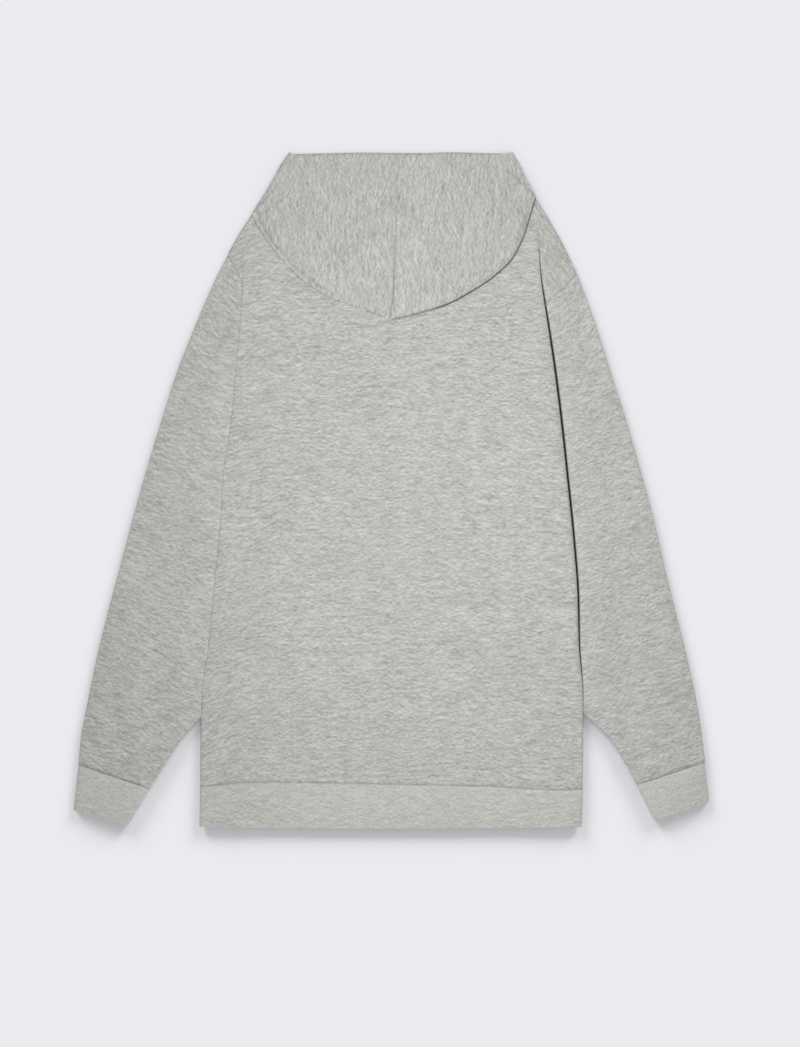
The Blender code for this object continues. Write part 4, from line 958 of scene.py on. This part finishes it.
class Graph:
    """Short ways to add the nodes of one material."""

    def __init__(self, name):
        self.item = bpy.data.materials.new(name)
        self.item.use_nodes = True
        self.nodes, self.links = self.item.node_tree.nodes, self.item.node_tree.links
        self.shader = self.nodes["Principled BSDF"]

    def set(self, socket, value):
        if isinstance(value, bpy.types.NodeSocket):
            self.links.new(value, socket)
        else:
            socket.default_value = value

    def add(self, kind, *values, **settings):
        """A node with these settings, and these values or links for its sockets in order."""
        node = self.nodes.new("ShaderNode" + kind)
        for word, setting in settings.items():
            setattr(node, word, setting)
        for socket, value in zip(node.inputs, values):
            self.set(socket, value)
        return node

    def math(self, operation, *values, clamp=False):
        return self.add("Math", *values, operation=operation, use_clamp=clamp).outputs[0]

    def vector(self, operation, *values):
        return self.add("VectorMath", *values, operation=operation).outputs[0]

    def attribute(self, name, output="Vector"):
        return self.add("Attribute", attribute_name=name).outputs[output]

    def axes(self, vector):
        return self.add("SeparateXYZ", vector).outputs

    def noise(self, vector, scale, detail=2.0, rough=0.5, output="Fac"):
        vector = self.vector("MULTIPLY", vector, scale)
        node = self.add("TexNoise")
        for word, value in (("Scale", 1), ("Detail", detail), ("Roughness", rough), ("Vector", vector)):
            self.set(node.inputs[word], value)
        return node.outputs[output]

    def spread(self, *values):
        """A value's range from low to high, mapped on 0 to 1 or on the range given."""
        return self.add("MapRange", *values).outputs[0]

    def mix(self, part, first, second, blend="MIX"):
        node = self.add("Mix", part, data_type="RGBA", blend_type=blend)
        self.set(node.inputs[6], first)
        self.set(node.inputs[7], second)
        return node.outputs[2]

    def finish(self, colour, relief=None, depth=0, **values):
        """The material with this colour, a relief this deep in mm, and these shader numbers."""
        self.set(self.shader.inputs["Base Color"], colour)
        if relief is not None:
            node = self.add("Bump")
            for word, value in (("Strength", 1), ("Distance", depth * MM), ("Height", relief)):
                self.set(node.inputs[word], value)
            self.set(self.shader.inputs["Normal"], node.outputs[0])
        for word, value in values.items():
            self.set(self.shader.inputs[word.replace("_", " ")], value)
        return self.item


def fleece(name, streak, contrast, lighter=0.0):
    """Grey melange jersey: short streaks along the knit, mottled, darkened by painted shade in narrow folds
    and seams, over a fine knit relief.

    streak is the length and width of the streaks in millimetres.
    """
    g = Graph(name)
    grain = g.vector("ADD", g.attribute("grain"), GRAIN_START)
    at = grain
    for scale, amount in WANDER:
        wander = g.vector("SUBTRACT", g.noise(grain, scale, 1, 0.5, "Color"), (0.5, 0.5, 0.5))
        at = g.vector("ADD", at, g.vector("MULTIPLY", wander, amount))
    layers = []
    for longer, wider, shift, detail, _ in STREAKS:
        where = g.vector("ADD", at, (0, shift, 0))
        scale = (1 / (longer * streak[0]), 1 / (wider * streak[1]), 1)
        layers.append(g.noise(where, scale, detail, 0.58))
    layers[-1] = g.spread(layers[-1], *FLECKS)
    mottle = g.noise(at, MOTTLE_SCALE, 1)
    level = lighter + 0.5 - 0.5 * (1.5 * contrast + MOTTLE)
    for layer, (*_, share) in zip(layers, STREAKS):
        level = g.math("MULTIPLY_ADD", layer, share * contrast, level)
    level = g.math("MULTIPLY_ADD", mottle, MOTTLE, level, clamp=True)
    tint = g.noise(at, TINT_SCALE, 1)
    colour = g.mix(level, DARK, LIGHT)
    # painted shade: the colour darkens towards a near-black where the cloth lies down a narrow fold or seam
    colour = g.mix(g.attribute("painted_shade", "Fac"), colour, PAINTED_FOLD_SHADE)
    colour = g.mix(1, colour, g.mix(g.spread(tint, 0.35, 0.65), COOL, WARM), "MULTIPLY")
    # the knit: slanted stitches in columns
    axes = g.axes(grain)
    column = g.math("PINGPONG", g.math("DIVIDE", axes[0], WALE), 0.5)
    slant = g.math("ADD", g.math("DIVIDE", axes[1], COURSE), column)
    stitch = g.math("SINE", g.math("MULTIPLY", slant, 2 * math.pi))
    ridge = g.math("SINE", g.math("MULTIPLY", column, 2 * math.pi))
    relief = g.math("MULTIPLY_ADD", stitch, 0.3, g.math("MULTIPLY", ridge, 0.45))
    relief = g.math("MULTIPLY_ADD", layers[0], 1.6, relief)
    return g.finish(colour, relief, KNIT_DEPTH, Roughness=0.92, Specular_IOR_Level=0.15, Sheen_Weight=0.12,
                    Sheen_Roughness=0.6)


def brushed(name):
    """The brushed inside of the fleece: paler, with a soft nap."""
    g = Graph(name)
    grain = g.attribute("grain")
    nap = g.noise(grain, (0.9, 0.7, 1), 4, 0.65)
    clumps = g.noise(grain, (0.12, 0.1, 1))
    level = g.math("MULTIPLY_ADD", nap, 0.5, g.math("MULTIPLY", clumps, 0.5), clamp=True)
    colour = g.mix(level, (0.44, 0.44, 0.42, 1), (0.74, 0.74, 0.71, 1))
    return g.finish(colour, g.math("ADD", nap, clumps), 0.5, Roughness=1, Specular_IOR_Level=0.1,
                    Sheen_Weight=0.3, Sheen_Roughness=0.5)


def tape_cloth(name):
    """Woven zip tape: a fine herringbone."""
    g = Graph(name)
    where = g.add("TexCoord").outputs["Object"]
    axes = g.axes(where)
    across = g.math("PINGPONG", g.math("DIVIDE", axes[0], 1.1 * MM), 0.5)
    slant = g.math("ADD", g.math("DIVIDE", axes[1], 0.7 * MM), across)
    weave = g.math("SINE", g.math("MULTIPLY", slant, 2 * math.pi))
    level = g.math("MULTIPLY_ADD", weave, 0.18, g.noise(where, (900, 900, 900)), clamp=True)
    colour = g.mix(level, (0.30, 0.30, 0.29, 1), (0.52, 0.52, 0.50, 1))
    return g.finish(colour, weave, 0.08, Roughness=0.8)


def metal(name):
    """Nickel-plated metal, satin, a little worn."""
    g = Graph(name)
    where = g.add("TexCoord").outputs["Object"]
    rub = g.noise(where, (1500, 260, 1500), 3, 0.6)
    stain = g.noise(where, (120, 120, 120))
    colour = g.mix(stain, (0.46, 0.46, 0.47, 1), (0.64, 0.64, 0.65, 1))
    return g.finish(colour, rub, 0.02, Roughness=g.spread(rub, 0.3, 0.7, 0.26, 0.42), Metallic=1)


def dress(piece, outside, inside):
    piece.data.materials.append(outside)
    piece.data.materials.append(inside)
    lower = piece.data.attributes["lower"].data
    values = np.zeros(len(lower), np.int32)
    lower.foreach_get("value", values)
    piece.data.polygons.foreach_set("material_index", values)


# ---- small pieces

def solid(name, points, faces):
    mesh = bpy.data.meshes.new(name)
    mesh.from_pydata(points, [], faces)
    mesh.validate()
    return add(name, mesh)


def prism(shape, low, high):
    """A flat outline of (x, y) drawn out from z low to high: its points and faces."""
    count = len(shape)
    points = [(x, y, z) for z in (low, high) for x, y in shape]
    faces = [tuple(range(count))[::-1], tuple(range(count, 2 * count))]
    faces += [(k, (k + 1) % count, count + (k + 1) % count, count + k) for k in range(count)]
    return points, faces


def block(x0, x1, y0, y1, low, high):
    return prism([(x0, y0), (x1, y0), (x1, y1), (x0, y1)], low, high)


def gather(name, parts):
    """One object of many parts, each given as points and faces."""
    points, faces = [], []
    for some_points, some_faces in parts:
        start = len(points)
        points += list(some_points)
        faces += [tuple(start + k for k in face) for face in some_faces]
    return solid(name, place(points).tolist(), faces)


def soften(piece, width, segments):
    bevel = piece.modifiers.new("soft edges", "BEVEL")
    bevel.width = width * MM
    bevel.segments = segments
    bevel.limit_method = "ANGLE"
    bevel.angle_limit = math.radians(40)
    return piece


def zip_levels(up):
    """The lower and upper face of the zip's teeth at this height."""
    z = CLOTH / 2 + SLIDER_LIFT * float(slider_bump(middle(up), up))
    return z - CHAIN_THICK / 2, z + CHAIN_THICK / 2


def make_teeth():
    """The closed teeth, one side's between the other's, with the top stops above the slider."""
    parts = []
    for k in range(int((SLIDER_UP - SLIDER_CLEAR - FIRST_TOOTH) / TOOTH_PITCH)):
        for side in (-1, 1):
            up = FIRST_TOOTH + TOOTH_PITCH * (k + (0.5 if side > 0 else 0))
            shape = [(middle(up) - side * x, up + y) for x, y in TOOTH][::-side]
            parts.append(prism(shape, *zip_levels(up)))
    up = SLIDER_UP + STOP_UP
    for x in (middle(up) - 3, middle(up) + 3):
        parts.append(block(x - 0.9, x + 0.9, up - 1.6, up + 1.6, *zip_levels(up)))
    return soften(gather("zip_teeth", parts), 0.12, 1)


def rounded(half_low, half_high, low, high, corner, steps=4):
    """A tapering outline with rounded corners, as (x, y)."""
    points = []
    corners = ((half_high, high), (-half_high, high), (-half_low, low), (half_low, low))
    for quarter, (x, y) in enumerate(corners):
        cx, cy = x - math.copysign(corner, x), y - math.copysign(corner, y - (low + high) / 2)
        for k in range(steps + 1):
            a = math.radians(90 * (quarter + k / steps))
            points.append((cx + corner * math.cos(a), cy + corner * math.sin(a)))
    return points


def make_slider_piece():
    """The slider: two plates joined in front, with side walls, and a bridge for the pull."""
    x, z, gap = SLIDER_X, CLOTH / 2 + SLIDER_LIFT, CHAIN_THICK / 2 + SEAM
    low, high = SLIDER_UP - SLIDER_HALF, SLIDER_UP + SLIDER_HALF
    plate = [(x + px, py) for px, py in rounded(3.9, 5.0, low, high, 1.8)]
    under = z - gap - PLATE
    bridge = under - 2.4
    walls = [prism([(x + s * 5.0, low + 1.5), (x + s * 5.0, low + 7.0), (x + s * 4.55, low + 7.0),
                    (x + s * 4.3, low + 1.5)][::s], under + 0.9, under + 1.25) for s in (1, -1)]
    parts = [prism(plate, z + gap, z + gap + PLATE), prism(plate, under, z - gap),
             block(x - 1.5, x + 1.5, high - 3.0, high - 0.4, z - gap - 0.1, z + gap + 0.1),
             block(x - 1, x + 1, low + 2, low + 3, bridge, under + 0.1),
             block(x - 1, x + 1, high - 4, high - 3, bridge, under + 0.1),
             block(x - 1, x + 1, low + 2, high - 3, bridge, bridge + 0.9)]
    return soften(gather("slider_body", parts + walls), 0.22, 2)


def tab_rim(angle):
    """The outline of the pull tab's end, round its hole: across and up from the hole's middle."""
    x, y = math.cos(angle), math.sin(angle)
    reach = min(TAB_HALF / max(abs(x), 1e-6), (3.7 if y > 0 else 4.4) / max(abs(y), 1e-6))
    if y < 0:
        reach = min(reach, 4.4 - 1.2 * abs(x))
    return x * reach, y * reach


def make_pull_piece():
    """The pull tab with its eye and a hole near its end."""
    axis = SLIDER_UP - 1
    z = CLOTH / 2 + SLIDER_LIFT - CHAIN_THICK / 2 - SEAM - PLATE - 0.75
    low, high = z - TAB_THICK / 2, z + TAB_THICK / 2
    parts = [block(SLIDER_X + x0, SLIDER_X + x1, axis + y0, axis + y1, low, high) for x0, x1, y0, y1 in
             ((-TAB_HALF, -1.4, -6.1, 0.17), (1.4, TAB_HALF, -6.1, 0.17), (-1.5, 1.5, -0.35, 0.35),
              (-TAB_HALF, TAB_HALF, -19, -6))]
    count, centre = 20, axis - 22.6
    for k in range(count):
        a, b = (2 * math.pi * n / count for n in (k, k + 1))
        inner = [(TAB_HOLE * math.cos(angle), TAB_HOLE * math.sin(angle)) for angle in (a, b)]
        ring = [inner[0], tab_rim(a), tab_rim(b), inner[1]]
        parts.append(prism([(SLIDER_X + x, centre + y) for x, y in ring], low, high))
    return gather("pull_tab", parts)


# ---- stage, light and camera

def make_stage():
    corners = [(x * FLOOR_HALF, y * FLOOR_HALF, FLOOR_Z) for x, y in ((-1, -1), (1, -1), (1, 1), (-1, 1))]
    floor = solid("floor", corners, [(0, 1, 2, 3)])
    floor.data.materials.append(Graph("floor_paper").finish(FLOOR, Roughness=1, Specular_IOR_Level=0))
    return floor


def lit_only(lamp, floor, state):
    """Give a lamp its own list of what it lights: the floor alone, or all but the floor."""
    group = bpy.data.collections.new(lamp.name + "_lights")
    group.objects.link(floor)
    group.collection_objects[0].light_linking.link_state = state
    lamp.light_linking.receiver_collection = group


def make_lights(floor):
    for name, share, tilt, bearing, wide in FLOOR_LAMPS:
        lamp = bpy.data.lights.new(name, "SUN")
        lamp.energy = share * math.pi / math.cos(math.radians(tilt))
        lamp.angle = math.radians(wide)
        item = add(name, lamp)
        item.rotation_euler = (math.radians(-tilt), 0, math.radians(bearing))
        lit_only(item, floor, "INCLUDE")
    lamp = bpy.data.lights.new("soft_box", "AREA")
    lamp.shape = "RECTANGLE"
    lamp.size, lamp.size_y = BOX_SIZE
    lamp.energy = BOX_SHARE * BOX_WATTS
    item = add("soft_box", lamp)
    item.location = BOX_AT
    item.visible_camera = False
    lit_only(item, floor, "EXCLUDE")
    world = bpy.data.worlds.new("studio")
    world.use_nodes = True
    nodes, links = world.node_tree.nodes, world.node_tree.links
    back = nodes["Background"]
    back.inputs["Color"].default_value = (1, 1, 1, 1)
    back.inputs["Strength"].default_value = WORLD_SHARE
    kinds = ("Background", "LightPath", "MixShader", "Math")
    seen, path, mix, either = (nodes.new("ShaderNode" + kind) for kind in kinds)
    seen.inputs["Color"].default_value = FLOOR
    either.operation = "MAXIMUM"
    for start, end in ((path.outputs["Is Camera Ray"], either.inputs[0]),
                       (path.outputs["Is Glossy Ray"], either.inputs[1]),
                       (either.outputs[0], mix.inputs[0]), (back.outputs[0], mix.inputs[1]),
                       (seen.outputs[0], mix.inputs[2]),
                       (mix.outputs[0], nodes["World Output"].inputs["Surface"])):
        links.new(start, end)
    bpy.context.scene.world = world


def make_camera():
    lens = bpy.data.cameras.new("camera")
    lens.lens, lens.sensor_width, lens.clip_end = 100, 36, 50
    item = add("camera", lens)
    item.location = [c * MM for c in CAMERA_AT]
    bpy.context.scene.camera = item
    bpy.context.scene.view_settings.view_transform = "Standard"


# ---- run

def main():
    make_camera()
    make_lights(make_stage())
    body, band, cuff = (fleece("fleece_" + word, *look) for word, look in FLEECES)
    inside = brushed("fleece_inside")
    pieces = {"back": make_back(), "waistband": make_waistband()}
    makers = {"front": make_front, "sleeve": make_sleeve, "cuff": make_cuff, "hood": make_hood}
    for side, word in ((-1, "left"), (1, "right")):
        for part, make in makers.items():
            pieces[f"{part}_{word}"] = make(side, f"{part}_{word}_cloth")
    for node, piece in pieces.items():
        dress(piece, cuff if node.startswith("cuff") else band if node == "waistband" else body, inside)
        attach(piece, "garment")
        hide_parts(node)
    steel, tape = metal("zip_steel"), tape_cloth("zip_tape_weave")
    for node, finish in (("zip_tape_left", tape), ("zip_tape_right", tape), ("zip_box", steel)):
        bpy.data.objects[node].material_slots[0].material = finish
    for make, node, body_name in ((make_teeth, "zip_chain", "garment"),
                                  (make_slider_piece, "zip_slider", "garment"),
                                  (make_pull_piece, "zip_pull", "pull")):
        piece = make()
        piece.data.materials.append(steel)
        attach(piece, body_name)
        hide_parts(node)


main()
bpy.context.view_layer.update()
